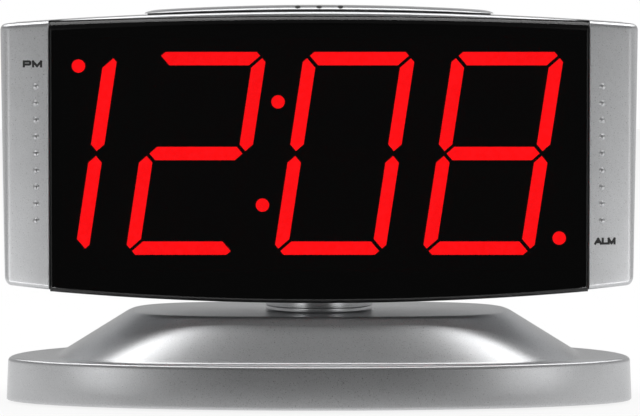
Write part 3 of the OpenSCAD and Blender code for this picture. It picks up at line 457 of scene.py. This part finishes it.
# Shares of the way along each stretch that get a row of points
RIM_WALL_ROWS = steps(0.05, 0.95, 4)
RIM_TOP_ROWS = [0.06, 0.3, 0.6, 0.85]
RIM_TOP_END = 0.9
DOME_ROWS = [0.1, 0.2, 0.35, 0.5, 0.65, 0.8]
DOME_END = 0.9
PLATEAU_ROWS = [0.05, 0.3, 0.6, 0.9, 1.0]


def rim(inset):
    """Outline of the base's rim, drawn in by an amount."""
    return oval(BASE_HALF_W - inset, BASE_FRONT_REACH - inset, BASE_BACK_REACH - inset,
                BASE_SQUARENESS, BASE_SQUARENESS, BASE_WIDEST_Y, OVAL_STEPS)


def dome(share, inset=0.0):
    """Outline of the dome from its foot (0) to its flat top (1)."""
    w, front, back = (low + (high - low) * share - inset for low, high in zip(DOME_FOOT, PLATEAU))
    front_power = DOME_FOOT_SQUARENESS + (DOME_SQUARENESS - DOME_FOOT_SQUARENESS) * share
    return oval(w, front, back, front_power, DOME_SQUARENESS, 0.0, OVAL_STEPS)


def dome_row(share):
    """The dome's outline at its height."""
    return at_height(dome(share), RIM_H + (PLATEAU_H - RIM_H) * share)


def between(a, b, share):
    """A row of points part of the way from one row to another."""
    return [tuple(u + (v - u) * share for u, v in zip(p, q)) for p, q in zip(a, b)]


def turn(start, corner, end, count):
    """Rows that round off the corner between two rows."""
    return [between(between(start, corner, t), between(corner, end, t), t) for t in steps(0, 1, count)]


def circle_row(r, z):
    """A round row that has as many points as the ovals."""
    angles = [2 * pi * k / OVAL_STEPS for k in range(OVAL_STEPS)]
    return [(r * cos(a), r * sin(a), z) for a in angles]


def make_base():
    """Rim with rounded edges, dome with a crisp foot and a flat top, and the collar under the neck."""
    skin = Skin("base_skin")
    rows = [at_height(rim(BASE_WALL), RIM_BOTTOM + BASE_WALL_TOP),
            at_height(rim(BASE_WALL), RIM_BOTTOM + BASE_WALL_EDGE),
            at_height(rim(BASE_WALL - BASE_WALL_EDGE), RIM_BOTTOM)]
    for a in steps(0, pi / 2, 4):
        rows.append(at_height(rim(RIM_LIP_R * (1 - sin(a))), RIM_BOTTOM + RIM_LIP_R * (1 - cos(a))))
    wall_low, wall_high = RIM_BOTTOM + RIM_LIP_R, RIM_H - RIM_EDGE_R
    for share in RIM_WALL_ROWS:
        rows.append(at_height(rim(RIM_LEAN * share), wall_low + (wall_high - wall_low) * share))
    for a in steps(0, pi / 2, 8):
        rows.append(at_height(rim(RIM_LEAN + RIM_EDGE_R * (1 - cos(a))), RIM_H - RIM_EDGE_R * (1 - sin(a))))
    edge = rows[-1]
    foot = dome_row(0)
    for share in RIM_TOP_ROWS:
        rows.append(between(edge, foot, share))
    slope = hypot(DOME_FOOT[1] - PLATEAU[1], PLATEAU_H - RIM_H)
    rows += turn(between(edge, foot, RIM_TOP_END), foot, dome_row(FOOT_TURN / slope), 4)
    for share in DOME_ROWS + [DOME_END - PLATEAU_TURN / slope]:
        rows.append(dome_row(share))
    brink = at_height(dome(1.0, PLATEAU_TURN), PLATEAU_H)
    rows += turn(dome_row(1 - PLATEAU_TURN / slope), dome_row(1), brink, 6)
    collar = circle_row(COLLAR_R + COLLAR_FOOT, PLATEAU_H)
    for share in PLATEAU_ROWS:
        rows.append(between(brink, collar, share))
    # The middle of the collar's rounded edge
    round_off = 0.3 * COLLAR_EDGE_R
    rows += [circle_row(COLLAR_R, PLATEAU_H + COLLAR_FOOT), circle_row(COLLAR_R, COLLAR_TOP - COLLAR_EDGE_R),
             circle_row(COLLAR_R - round_off, COLLAR_TOP - round_off),
             circle_row(COLLAR_R - COLLAR_EDGE_R, COLLAR_TOP),
             circle_row(COLLAR_BORE_R, COLLAR_TOP), circle_row(COLLAR_BORE_R, COLLAR_TOP - COLLAR_BORE_DEPTH)]
    skin.stack(rows, closed=True)
    piece = weighted(skin.finish([SILVER]))
    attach(piece, "base")
    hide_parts("base_shell")


make_base()

# Front case

# Shares of the cheeks' height that get a row of points
CHEEK_WALL_ROWS = (0.03, 0.25, 0.5, 0.75, 0.97)
# Tolerances for finding a place on a line
NEAR = 1e-6
SHORTEST = 1e-9


def corner_centre():
    """Centre of the round between the bowed front and the tapered side, right half."""
    nx, ny = cos(PLAN_TAPER), sin(PLAN_TAPER)
    dx, dy = -ny, nx
    reach = HEAD_HALF_W * nx + (HEAD_BACK - HEAD_FRONT) / 2 * ny
    qx = (reach - CHEEK_CORNER_R) * nx
    qy = (reach - CHEEK_CORNER_R) * ny - BOW_CENTRE_Y
    along = qx * dx + qy * dy
    s = -along - sqrt(along ** 2 - qx * qx - qy * qy + (FRONT_BOW_R - CHEEK_CORNER_R) ** 2)
    return qx + s * dx, BOW_CENTRE_Y + qy + s * dy


def seam_turn():
    """How far each step of the seam's edge reaches to the back, and how far it sinks."""
    edge = [(SEAM_EDGE_R * sin(a), SEAM_EDGE_R * (1 - cos(a))) for a in steps(0, pi / 2, 4)[1:]]
    return edge + [(SEAM_EDGE_R, SEAM_DEPTH)]


def cheek_outline():
    """Right half of the case in plan, from the window's edge round the cheek to the seam.

    Each point has its place, its outward normal and the depth that it sinks to in the seam.
    """
    inner = WINDOW_HALF_W + WINDOW_GAP + POCKET_CHAMFER
    cx, cy = corner_centre()
    start = atan2(cy - BOW_CENTRE_Y, cx)
    first = atan2(bow_y(inner) - BOW_CENTRE_Y, inner)
    points = [(FRONT_BOW_R * cos(a), BOW_CENTRE_Y + FRONT_BOW_R * sin(a), cos(a), sin(a), 0.0)
              for a in steps(first, start, 10)]
    points += [(cx + CHEEK_CORNER_R * cos(a), cy + CHEEK_CORNER_R * sin(a), cos(a), sin(a), 0.0)
               for a in steps(start, PLAN_TAPER, 14)[1:]]
    x0, y0 = points[-1][:2]
    last_y = SEAM_Y - SEAM_EDGE_R
    points += [(x0 - (y - y0) * tan(PLAN_TAPER), y, 1.0, 0.0, 0.0) for y in steps(y0, last_y, 6)[1:]]
    points += [(points[-1][0], last_y + reach, 1.0, 0.0, sunk) for reach, sunk in seam_turn()]
    return points


def side_limit(z):
    """Half width of the head at a height: its sides lean out towards the top."""
    return HEAD_HALF_W + (z - HEAD_MID_H) * tan(SIDE_LEAN)


def cheek_rows(side):
    """Rows from the underside, up the wall and over the top edge, for one side of the case."""
    outline = cheek_outline()

    def low_r(p):
        return FRONT_BOTTOM_EDGE_R + max(0.0, p[2]) ** 2 * (SIDE_BOTTOM_EDGE_R - FRONT_BOTTOM_EDGE_R)

    def place(p, inset, z_of, lift):
        x, y = p[0] - p[2] * inset, p[1] - p[3] * inset
        z = z_of(x, y)
        x = soft_min(x, side_limit(z) - max(0.0, p[2]) * inset)
        return (side * (x - p[4] * cos(lift)), y, z - p[4] * sin(lift))

    def low_row(a, extra=0.0):
        return [place(p, low_r(p) * (1 - cos(a)) + extra,
                      lambda x, y: bottom_z(x, y) + low_r(p) * (1 - sin(a)), -a) for p in outline]

    def wall_row(share):
        return [place(p, 0.0, lambda x, y: (bottom_z(x, y) + low_r(p)) * (1 - share)
                      + (top_z(x, y) - TOP_EDGE_R) * share, 0.0) for p in outline]

    def high_row(a, extra=0.0):
        return [place(p, TOP_EDGE_R * (1 - cos(a)) + extra,
                      lambda x, y: top_z(x, y) - TOP_EDGE_R * (1 - sin(a)), a) for p in outline]

    rows = [low_row(pi / 2, EDGE_FLAT)] + [low_row(a) for a in steps(pi / 2, 0, 8)]
    rows += [wall_row(share) for share in CHEEK_WALL_ROWS]
    rows += [high_row(a) for a in steps(0, pi / 2, 8)] + [high_row(pi / 2, EDGE_FLAT)]
    # A chamfer and a plain wall lead from the front into the window's pocket
    edge = side * (WINDOW_HALF_W + WINDOW_GAP)
    floor = bow_y(edge) + POCKET_FLOOR
    return [[(edge, floor, row[0][2]), (edge, min(row[0][1] + POCKET_CHAMFER, floor), row[0][2])] + row
            for row in rows]


def make_front_case():
    """Two cheeks, the top with the snooze bar's slot, the underside, and the pocket for the window."""
    skin = Skin("front_case_skin")
    right = cheek_rows(1)
    skin.stack(cheek_rows(-1))
    skin.stack(right)
    cap(skin, right[-1][2:], top_z, slot=True, outward=1)
    cap(skin, right[0][2:], bottom_z, slot=False, outward=-1)
    slot_wall(skin)
    pocket_floor(skin)
    piece = weighted(skin.finish([SILVER, MASK_AND_SHADE], merge=0.002))
    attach(piece, "head")
    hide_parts("front_case")


def snooze_span():
    """Front and back of the snooze bar, from its frame node."""
    low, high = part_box("snooze_bar")
    return low[1] / MM, high[1] / MM


def slot_edge(x, grow):
    """Front and back of the snooze bar's slot at a place across it; one line past its ends."""
    front, back = snooze_span()
    r = (back - front) / 2
    middle = (front + back) / 2
    straight = SNOOZE_HALF_L - r
    reach = r + grow
    beyond = abs(x) - straight
    if beyond <= 0:
        return middle - reach, middle + reach
    if beyond >= reach:
        return middle, middle
    half = sqrt(reach * reach - beyond * beyond)
    return middle - half, middle + half


def cap(skin, right_edge, z_of, slot, outward):
    """Top or underside of the case inside the rounded edges, as columns across it."""
    # Right-hand boundary, split into its front curve and its side line
    boundary = right_edge[:-len(seam_turn())]
    xs = [p[0] for p in boundary]
    widest = xs.index(max(xs))
    front = boundary[:widest + 1]
    side = boundary[widest:]
    back_y = boundary[-1][1]

    def follow(line, x):
        """Depth of a line of points at a place across."""
        for p, q in zip(line, line[1:]):
            low, high = sorted((p[0], q[0]))
            if low - NEAR <= x <= high + NEAR and high - low > SHORTEST:
                t = (x - p[0]) / (q[0] - p[0])
                return p[1] + (q[1] - p[1]) * t
        return None

    def ends(x):
        """Front and back of the column at a place across."""
        ax = abs(x)
        near = bow_y(ax) + POCKET_FLOOR + POCKET_EDGE_R if ax < front[0][0] else follow(front, ax)
        far = back_y if ax <= side[-1][0] else follow(side, ax)
        return near, far

    bar_front, bar_back = snooze_span()
    straight = SNOOZE_HALF_L - (bar_back - bar_front) / 2
    tip = SNOOZE_HALF_L + SNOOZE_GAP + SLOT_EDGE_R
    columns = steps(0, straight, 12)
    columns += [straight + (tip - straight) * sin(a) for a in steps(0, pi / 2, 24)[1:]]
    columns += steps(tip, front[0][0], 6)[1:]
    columns += [p[0] for p in front[1:]] + [side[-1][0]]
    columns = sorted(set(columns))
    columns = [-x for x in reversed(columns[1:])] + columns
    near_rows, far_rows = [], []
    for x in columns:
        near, far = ends(x)
        s1, s2 = slot_edge(x, SNOOZE_GAP + SLOT_EDGE_R) if slot else ((near + far) / 2,) * 2
        s1, s2 = max(s1, near), min(max(s2, near), far)
        near_rows.append([(x, y, z_of(x, y)) for y in steps(near, s1, 6)])
        far_rows.append([(x, y, z_of(x, y)) for y in steps(s2, far, 10)])
    skin.stack(near_rows)
    skin.stack(far_rows)
    skin.stack([[(x, back_y + reach, z_of(x, back_y + reach) - outward * sunk)
                 for reach, sunk in [(0.0, 0.0)] + seam_turn()] for x in columns if abs(x) <= side[-1][0]])


STADIUM_STEPS = 40
STADIUM_END_STEPS = 48


def stadium(half_l, front, back, grow):
    """Outline of a long bar with round ends, grown by an amount, from the front's left round to the right."""
    r = (back - front) / 2 + grow
    middle = (front + back) / 2
    straight = half_l - (back - front) / 2
    end = steps(0, pi, STADIUM_END_STEPS)[1:-1]
    points = [(x, middle - r) for x in steps(-straight, straight, STADIUM_STEPS)]
    points += [(straight + r * sin(a), middle - r * cos(a)) for a in end]
    points += [(x, middle + r) for x in steps(straight, -straight, STADIUM_STEPS)]
    points += [(-straight - r * sin(a), middle + r * cos(a)) for a in end]
    return points


def slot_wall(skin):
    """Rounded edge and walls of the snooze bar's slot."""
    front, back = snooze_span()
    rows = []
    for a in steps(pi / 2, 0, 5):
        outline = stadium(SNOOZE_HALF_L, front, back, SNOOZE_GAP + SLOT_EDGE_R * (1 - cos(a)))
        rows.append([(x, y, top_z(x, y) - SLOT_EDGE_R * (1 - sin(a))) for x, y in outline])
    rows.append([(x, y, z - SLOT_DEPTH) for x, y, z in rows[-1]])
    skin.stack(rows, closed=True)


def pocket_floor(skin):
    """Wall behind the window: a rounded silver top edge, dark below it, open for the display."""
    xs = steps(-WINDOW_HALF_W - WINDOW_GAP, WINDOW_HALF_W + WINDOW_GAP, 48)

    def edge_z(x):
        return top_z(x, bow_y(x) + POCKET_FLOOR + POCKET_EDGE_R)

    def wall(xs, low_of, high_of):
        skin.stack([[(x, bow_y(x) + POCKET_FLOOR, low_of(x) + (high_of(x) - low_of(x)) * t) for x in xs]
                    for t in steps(0, 1, 2)])

    skin.stack([[(x, bow_y(x) + POCKET_FLOOR + POCKET_EDGE_R * (1 - cos(a)),
                  edge_z(x) - POCKET_EDGE_R * (1 - sin(a))) for x in xs] for a in steps(pi / 2, 0, 8)])
    skin.slot = MASK_AND_SHADE_SLOT
    wall(xs, lambda x: DISPLAY_HIGH, lambda x: edge_z(x) - POCKET_EDGE_R)
    wall(xs, lambda x: bottom_z(x, 0), lambda x: DISPLAY_LOW)
    for side in (-1, 1):
        ends = steps(side * DISPLAY_HALF_W, side * (WINDOW_HALF_W + WINDOW_GAP), 2)
        wall(ends, lambda x: DISPLAY_LOW, lambda x: DISPLAY_HIGH)
    skin.slot = PAINTED
    skin.stack([[(x, bow_y(x) + POCKET_FLOOR + d, bottom_z(x, 0)) for x in xs] for d in (0, POCKET_EDGE_R)])


make_front_case()

# Window

# Shares of the window's height that get a row of points
WINDOW_ROWS = (0.1, 0.3, 0.5, 0.7, 0.9)


def make_window():
    """Bowed sheet with a wide round along its top edge and smaller ones at its foot and sides."""
    skin = Skin("window_skin")
    r = WINDOW_EDGE_R
    f = WINDOW_FOOT_R
    s = WINDOW_SIDE_R
    strip = WINDOW_T - WINDOW_BACK_STRIP

    def high(x):
        return HEAD_TOP - WINDOW_TOP_DROP - WINDOW_TOP_ARCH_R + sqrt(WINDOW_TOP_ARCH_R ** 2 - x * x)

    def low(x):
        return HEAD_BOTTOM + WINDOW_ARCH_R - sqrt(WINDOW_ARCH_R ** 2 - x * x)

    def front(x, share):
        return low(x) + f + (high(x) - low(x) - r - f) * share

    # Depth and height along the section, from the back's foot over the front to the back's top
    section = [(WINDOW_T, low, 0.0), (strip, low, 0.0)]
    section += [(f * (1 - cos(a)), low, f * (1 - sin(a))) for a in steps(pi / 2, 0, 12)]
    section += [(0.0, lambda x, share=share: front(x, share), 0.0) for share in WINDOW_ROWS]
    section += [(r * (1 - cos(a)), high, -r * (1 - sin(a))) for a in steps(0, pi / 2, 12)]
    section += [(strip, high, 0.0), (WINDOW_T, high, 0.0)]
    # Places across, with a small round at each side
    across = [(-WINDOW_HALF_W + s * (1 - cos(a)), s * (1 - sin(a))) for a in steps(0, pi / 2, 5)]
    across += [(x, 0.0) for x in steps(-WINDOW_HALF_W + s, WINDOW_HALF_W - s, 64)[1:-1]]
    across += [(WINDOW_HALF_W - s * (1 - cos(a)), s * (1 - sin(a))) for a in steps(pi / 2, 0, 5)]
    rows = [[(x, bow_y(x) + max(depth, sink), z_of(x) + shift) for depth, z_of, shift in section]
            for x, sink in across]
    numbers = skin.stack(rows)
    skin.bridge([row[-1] for row in numbers], [row[0] for row in numbers])
    for row in (numbers[0], numbers[-1]):
        skin.face(tuple(row))
    piece = weighted(skin.finish([WINDOW]))
    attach(piece, "head")
    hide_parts("window")


make_window()

# Snooze bar

SNOOZE_TOP = HEAD_TOP + SNOOZE_RISE
# Shares of a dimple's radius, with the height of the dish there; the dish is painted dark as the dimple's
# shade
DIMPLE_DISH = ((1.0, -0.03), (1.0, 0.07), (0.9, 0.09), (0.7, 0.085), (0.4, 0.08), (0.05, 0.08))


def crown(x):
    """Height of the bar's crowned top at a place across it."""
    rise = SNOOZE_RISE - SNOOZE_END_RISE + SNOOZE_HALF_L ** 2 / (2 * TOP_ARCH_R)
    r = (SNOOZE_HALF_L ** 2 + rise ** 2) / (2 * rise)
    return SNOOZE_TOP - r + sqrt(r ** 2 - x * x)


def make_snooze():
    """Long bar, crowned along its length, with a soft slope all round and a dark line of painted shade, in
    the black mask, under its lip.
    """
    skin = Skin("snooze_skin")
    front, back = snooze_span()

    def along_top(inset, lift):
        """A row that follows the case's arched top."""
        outline = stadium(SNOOZE_HALF_L, front, back, -inset)
        return [(x, y, HEAD_TOP - x * x / (2 * TOP_ARCH_R) + lift) for x, y in outline]

    def slope_row(inset):
        share = 1 - min(1.0, (inset - SNOOZE_LIP_INSET) / SNOOZE_RUN)
        share = sqrt(1 - share * share)
        return [(x, y, z + (crown(x) - z) * share) for x, y, z in along_top(inset, SNOOZE_LIP_H)]

    # A groove over the skirt and under the lip is painted in the black mask as shade, and leaves a dark line
    # above the case
    rows = [at_height(stadium(SNOOZE_HALF_L, front, back, 0), HEAD_TOP - SNOOZE_SKIRT),
            along_top(0, -SNOOZE_GROOVE_LOW), along_top(SNOOZE_GROOVE_DEPTH, -SNOOZE_GROOVE_LOW),
            along_top(SNOOZE_GROOVE_DEPTH, SNOOZE_LIP_H), along_top(SNOOZE_LIP_INSET, SNOOZE_LIP_H)]
    insets = [SNOOZE_LIP_INSET + SNOOZE_RUN * (1 - cos(a)) for a in steps(0, pi / 2, 18)[1:]]
    insets += steps(SNOOZE_TOP_START, (back - front) / 2 - SNOOZE_RIDGE, 4)
    # Painted shade: the groove's faces take the black mask
    skin.slot = MASK_AND_SHADE_SLOT
    skin.stack(rows, closed=True)
    skin.slot = PAINTED
    last = skin.stack([rows[-1]] + [slope_row(inset) for inset in insets], closed=True)[-1]
    # The last outline's two long sides lie close together, and a strip joins them
    side, end = STADIUM_STEPS + 1, STADIUM_END_STEPS - 1
    skin.bridge(last[:side], list(reversed(last[side + end:2 * side + end])))
    piece = weighted(skin.finish([SILVER, MASK_AND_SHADE]))
    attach(piece, "snooze")
    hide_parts("snooze_bar")


def make_dimples():
    """Three shallow dishes on the bar's front slope, painted dark in the black ink as the dimples' shade."""
    skin = Skin("snooze_dimples")
    c, t = cos(DIMPLE_TILT), sin(DIMPLE_TILT)
    y0 = snooze_span()[0] + SNOOZE_LIP_INSET + SNOOZE_RUN * (1 - cos(DIMPLE_TURN))
    z0 = SNOOZE_TOP - (SNOOZE_RISE - SNOOZE_LIP_H) * (1 - sin(DIMPLE_TURN))
    for k in (-1, 0, 1):
        rows = [[(k * DIMPLE_PITCH + DIMPLE_R * share * cos(a),
                  y0 + DIMPLE_R * share * sin(a) * c - lift * t,
                  z0 + DIMPLE_R * share * sin(a) * t + lift * c) for a in steps(0, 2 * pi, 24)[:-1]]
                for share, lift in DIMPLE_DISH]
        skin.face(tuple(skin.stack(rows, closed=True)[-1]))
    piece = skin.finish([INK_AND_SHADE])
    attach(piece, "snooze")


make_snooze()
make_dimples()

# Studs and marks on the cheeks


def make_studs():
    """A column of small round studs down each cheek."""
    skin = Skin("cheek_studs")
    profile = [(STUD_R * STUD_FOOT_SPREAD, -STUD_FOOT_SINK), (STUD_R * STUD_HEM_SPREAD, STUD_HEM_OUT)]
    profile += [(STUD_R * cos(a), STUD_OUT * sin(a)) for a in steps(STUD_TURN_START, STUD_TURN_END, 6)]
    for side in (-1, 1):
        x0 = side * STUD_X
        lean = atan2(x0, FRONT_BOW_R)
        nx, ny = sin(lean), -cos(lean)
        for k in range(STUDS):
            z0 = DIGIT_CENTRE_H + STUD_PITCH * (k - (STUDS - 1) / 2)
            rows = [[(x0 + r * cos(a) * cos(lean) + out * nx,
                      bow_y(x0) + r * cos(a) * sin(lean) + out * ny,
                      z0 + r * sin(a)) for a in steps(0, 2 * pi, 20)[:-1]] for r, out in profile]
            skin.face(tuple(skin.stack(rows, closed=True)[-1]))
    piece = skin.finish([SILVER])
    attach(piece, "head")


make_studs()

# Letters as pen strokes in a box one unit high: the letter's width, and strokes that are lists of points
LETTER_GAP = 0.42
LETTERS = {
    "P": (1.15, [[(0, 0), (0, 1)], [(0, 1), (0.8, 1), (1.0, 0.93), (1.08, 0.75), (1.08, 0.62), (1.0, 0.45),
                                    (0.8, 0.38), (0, 0.38)]]),
    "M": (1.35, [[(0, 0), (0, 1)], [(0, 1), (0.67, 0.05)], [(0.67, 0.05), (1.35, 1)],
                 [(1.35, 1), (1.35, 0)]]),
    "A": (1.3, [[(0, 0), (0.65, 1)], [(0.65, 1), (1.3, 0)], [(0.24, 0.3), (1.06, 0.3)]]),
    "L": (0.95, [[(0, 1), (0, 0)], [(0, 0), (0.95, 0)]]),
}


def make_mark(name, word, x_left, z_low, width):
    """A short printed word that lies on the cheek."""
    skin = Skin(name)
    pen = MARK_PEN
    natural = sum(LETTERS[letter][0] for letter in word) + LETTER_GAP * (len(word) - 1)
    wide, tall = (width - pen) / natural, MARK_H - pen
    x = x_left + pen / 2

    def put(points):
        """One stroke of the pen, as a thin plate."""
        top = [(px, bow_y(px) - MARK_LIFT, pz) for px, pz in points]
        foot = [(px, bow_y(px) + MARK_SINK, pz) for px, pz in points]
        skin.face(tuple(skin.stack([foot, top], closed=True)[-1]))

    for letter in word:
        advance, strokes = LETTERS[letter]
        for stroke in strokes:
            for (ax, az), (bx, bz) in zip(stroke, stroke[1:]):
                ax, az = x + ax * wide, z_low + pen / 2 + az * tall
                bx, bz = x + bx * wide, z_low + pen / 2 + bz * tall
                length = hypot(bx - ax, bz - az)
                ux, uz = (bx - ax) / length * pen / 2, (bz - az) / length * pen / 2
                put([(ax - ux - uz, az - uz + ux), (ax - ux + uz, az - uz - ux),
                     (bx + ux + uz, bz + uz - ux), (bx + ux - uz, bz + uz + ux)])
        x += (advance + LETTER_GAP) * wide
    piece = skin.finish([INK_AND_SHADE], smooth=False, merge=0.0)
    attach(piece, "head")


make_mark("evening_mark", "PM", x_left=-65.3, z_low=74.7, width=4.35)
make_mark("alarm_mark", "ALM", x_left=60.7, z_low=35.6, width=4.8)

# Stage, light and camera

# In metres, and the floor's share of plain white
FLOOR_HALF_W = 1.5
FLOOR_FRONT = -0.06
FLOOR_BACK = 1.6
FLOOR_GAP = 0.0001
FLOOR_GREY = 0.9
FLOOR_GLOW = 0.85

# Fades of the studio's light: the axis, the span of directions along it, and the light at the span's two ends
FRONT_FADE = ("Y", (-0.89, -0.77), (0.12, 1.06))
SIDE_FADE = ("Y", (-0.75, 0.1), (1.0, 1.1))
BEHIND_FADE = ("Y", (0.3, 0.95), (1.0, 0.4))
ABOVE_FADE = ("Z", (0.2, 0.6), (1.0, 0.24))
LEFT_FADE = ("X", (-0.9, -0.3), (0.85, 1.0))
MIRRORED_LEVEL = 0.5

# The lamps face the middle of the clock; in metres
CLOCK_MIDDLE = Vector((0, 0, 0.04))
LAMP_DISTANCE = 1.1

# The camera, in metres and in pixels of a picture that is 640 wide
IMAGE_W = 640
FOCAL_PIXELS = 4000.0
SENSOR_MM = 36.0
CAMERA_ELEVATION = radians(3.3)
CAMERA_DISTANCE = 0.9
CAMERA_LOOK = Vector((0.0002, 0, 0.0427))


def multiply(tree, a, b):
    """The product of a socket and a socket or number."""
    node = tree.nodes.new("ShaderNodeMath")
    node.operation = "MULTIPLY"
    tree.links.new(a, node.inputs[0])
    if isinstance(b, float):
        node.inputs[1].default_value = b
    else:
        tree.links.new(b, node.inputs[1])
    return node.outputs[0]


def white_for(tree, rays, light, level=1.0):
    """A white of one level for the rays that are chosen, and the light as it is for the others."""
    mix = tree.nodes.new("ShaderNodeMix")
    mix.data_type = "FLOAT"
    mix.inputs["B"].default_value = level
    tree.links.new(rays, mix.inputs["Factor"])
    tree.links.new(light, mix.inputs["A"])
    return mix.outputs["Result"]


def seeing_rays(tree, *more):
    """One for rays that show the backdrop: mirrored and transmitted ones, and the kinds that are named."""
    path = tree.nodes.new("ShaderNodeLightPath")
    total = path.outputs["Is Glossy Ray"]
    for kind in ("Is Transmission Ray",) + more:
        both = tree.nodes.new("ShaderNodeMath")
        both.operation = "MAXIMUM"
        tree.links.new(total, both.inputs[0])
        tree.links.new(path.outputs[kind], both.inputs[1])
        total = both.outputs[0]
    return total


def make_floor():
    """Plain pale floor that ends a little way in front."""
    bm = bmesh.new()
    corners = [(-FLOOR_HALF_W, FLOOR_FRONT), (FLOOR_HALF_W, FLOOR_FRONT),
               (FLOOR_HALF_W, FLOOR_BACK), (-FLOOR_HALF_W, FLOOR_BACK)]
    bm.faces.new([bm.verts.new((x, y, -FLOOR_GAP)) for x, y in corners])
    mesh = bpy.data.meshes.new("floor")
    bm.to_mesh(mesh)
    bm.free()
    m = bpy.data.materials.new("floor")
    m.use_nodes = True
    tree = m.node_tree
    tree.nodes.clear()
    matt = tree.nodes.new("ShaderNodeBsdfDiffuse")
    matt.inputs["Color"].default_value = (FLOOR_GREY, FLOOR_GREY, FLOOR_GREY, 1)
    glow = tree.nodes.new("ShaderNodeEmission")
    mix = tree.nodes.new("ShaderNodeMixShader")
    out = tree.nodes.new("ShaderNodeOutputMaterial")
    tree.links.new(multiply(tree, seeing_rays(tree, "Is Camera Ray"), FLOOR_GLOW), mix.inputs["Fac"])
    tree.links.new(matt.outputs[0], mix.inputs[1])
    tree.links.new(glow.outputs[0], mix.inputs[2])
    tree.links.new(mix.outputs[0], out.inputs["Surface"])
    mesh.materials.append(m)
    floor = bpy.data.objects.new("floor", mesh)
    bpy.context.scene.collection.objects.link(floor)


def make_world():
    """White to the camera; as light, dark in front and dim overhead and behind; mirrors see half of it."""
    world = bpy.data.worlds.new("studio")
    world.use_nodes = True
    bpy.context.scene.world = world
    tree = world.node_tree
    back = tree.nodes["Background"]
    coords = tree.nodes.new("ShaderNodeTexCoord")
    split = tree.nodes.new("ShaderNodeSeparateXYZ")
    tree.links.new(coords.outputs["Generated"], split.inputs["Vector"])

    def fade(axis, span, values):
        return map_range(tree, split.outputs[axis], span, values, "SMOOTHSTEP")

    behind = white_for(tree, seeing_rays(tree), fade(*BEHIND_FADE), MIRRORED_LEVEL)
    light = multiply(tree, fade(*FRONT_FADE), fade(*SIDE_FADE))
    for factor in (behind, fade(*ABOVE_FADE), fade(*LEFT_FADE)):
        light = multiply(tree, light, factor)
    path = tree.nodes.new("ShaderNodeLightPath")
    tree.links.new(white_for(tree, path.outputs["Is Camera Ray"], light), back.inputs["Strength"])
    back.inputs["Color"].default_value = (1, 1, 1, 1)


def soft_box(name, azimuth, elevation, size, radiance):
    """A rectangular lamp that faces the clock; azimuth 0 is in front, and positive to the right."""
    lamp = bpy.data.lights.new(name, "AREA")
    lamp.shape = "RECTANGLE"
    lamp.size, lamp.size_y = size
    lamp.energy = radiance * pi * size[0] * size[1]
    a, e = radians(azimuth), radians(elevation)
    away = Vector((sin(a) * cos(e), -cos(a) * cos(e), sin(e)))
    box = bpy.data.objects.new(name, lamp)
    box.location = CLOCK_MIDDLE + LAMP_DISTANCE * away
    box.rotation_euler = (-away).to_track_quat("-Z", "Y").to_euler()
    bpy.context.scene.collection.objects.link(box)


def make_camera():
    """The camera at the height and distance of the photograph's view."""
    lens = bpy.data.cameras.new("camera")
    lens.sensor_width = SENSOR_MM
    lens.lens = SENSOR_MM * FOCAL_PIXELS / IMAGE_W
    camera = bpy.data.objects.new("camera", lens)
    away = Vector((0, -cos(CAMERA_ELEVATION), sin(CAMERA_ELEVATION)))
    camera.location = CAMERA_LOOK + CAMERA_DISTANCE * away
    camera.rotation_euler = (CAMERA_LOOK - camera.location).to_track_quat("-Z", "Y").to_euler()
    bpy.context.scene.collection.objects.link(camera)
    bpy.context.scene.camera = camera


make_floor()
make_world()
for side, sign in (("left", -1), ("right", 1)):
    soft_box(side + "_low_light", azimuth=sign * 40, elevation=-16, size=(0.32, 0.4), radiance=3.6)
    soft_box(side + "_high_light", azimuth=sign * 96, elevation=55, size=(0.6, 0.5), radiance=2.2)
    soft_box(side + "_back_light", azimuth=sign * 130, elevation=40, size=(0.6, 0.4), radiance=1.2)
soft_box("top_light", azimuth=180, elevation=84, size=(1.2, 0.8), radiance=2.4)
make_camera()
bpy.context.scene.view_settings.view_transform = "Standard"
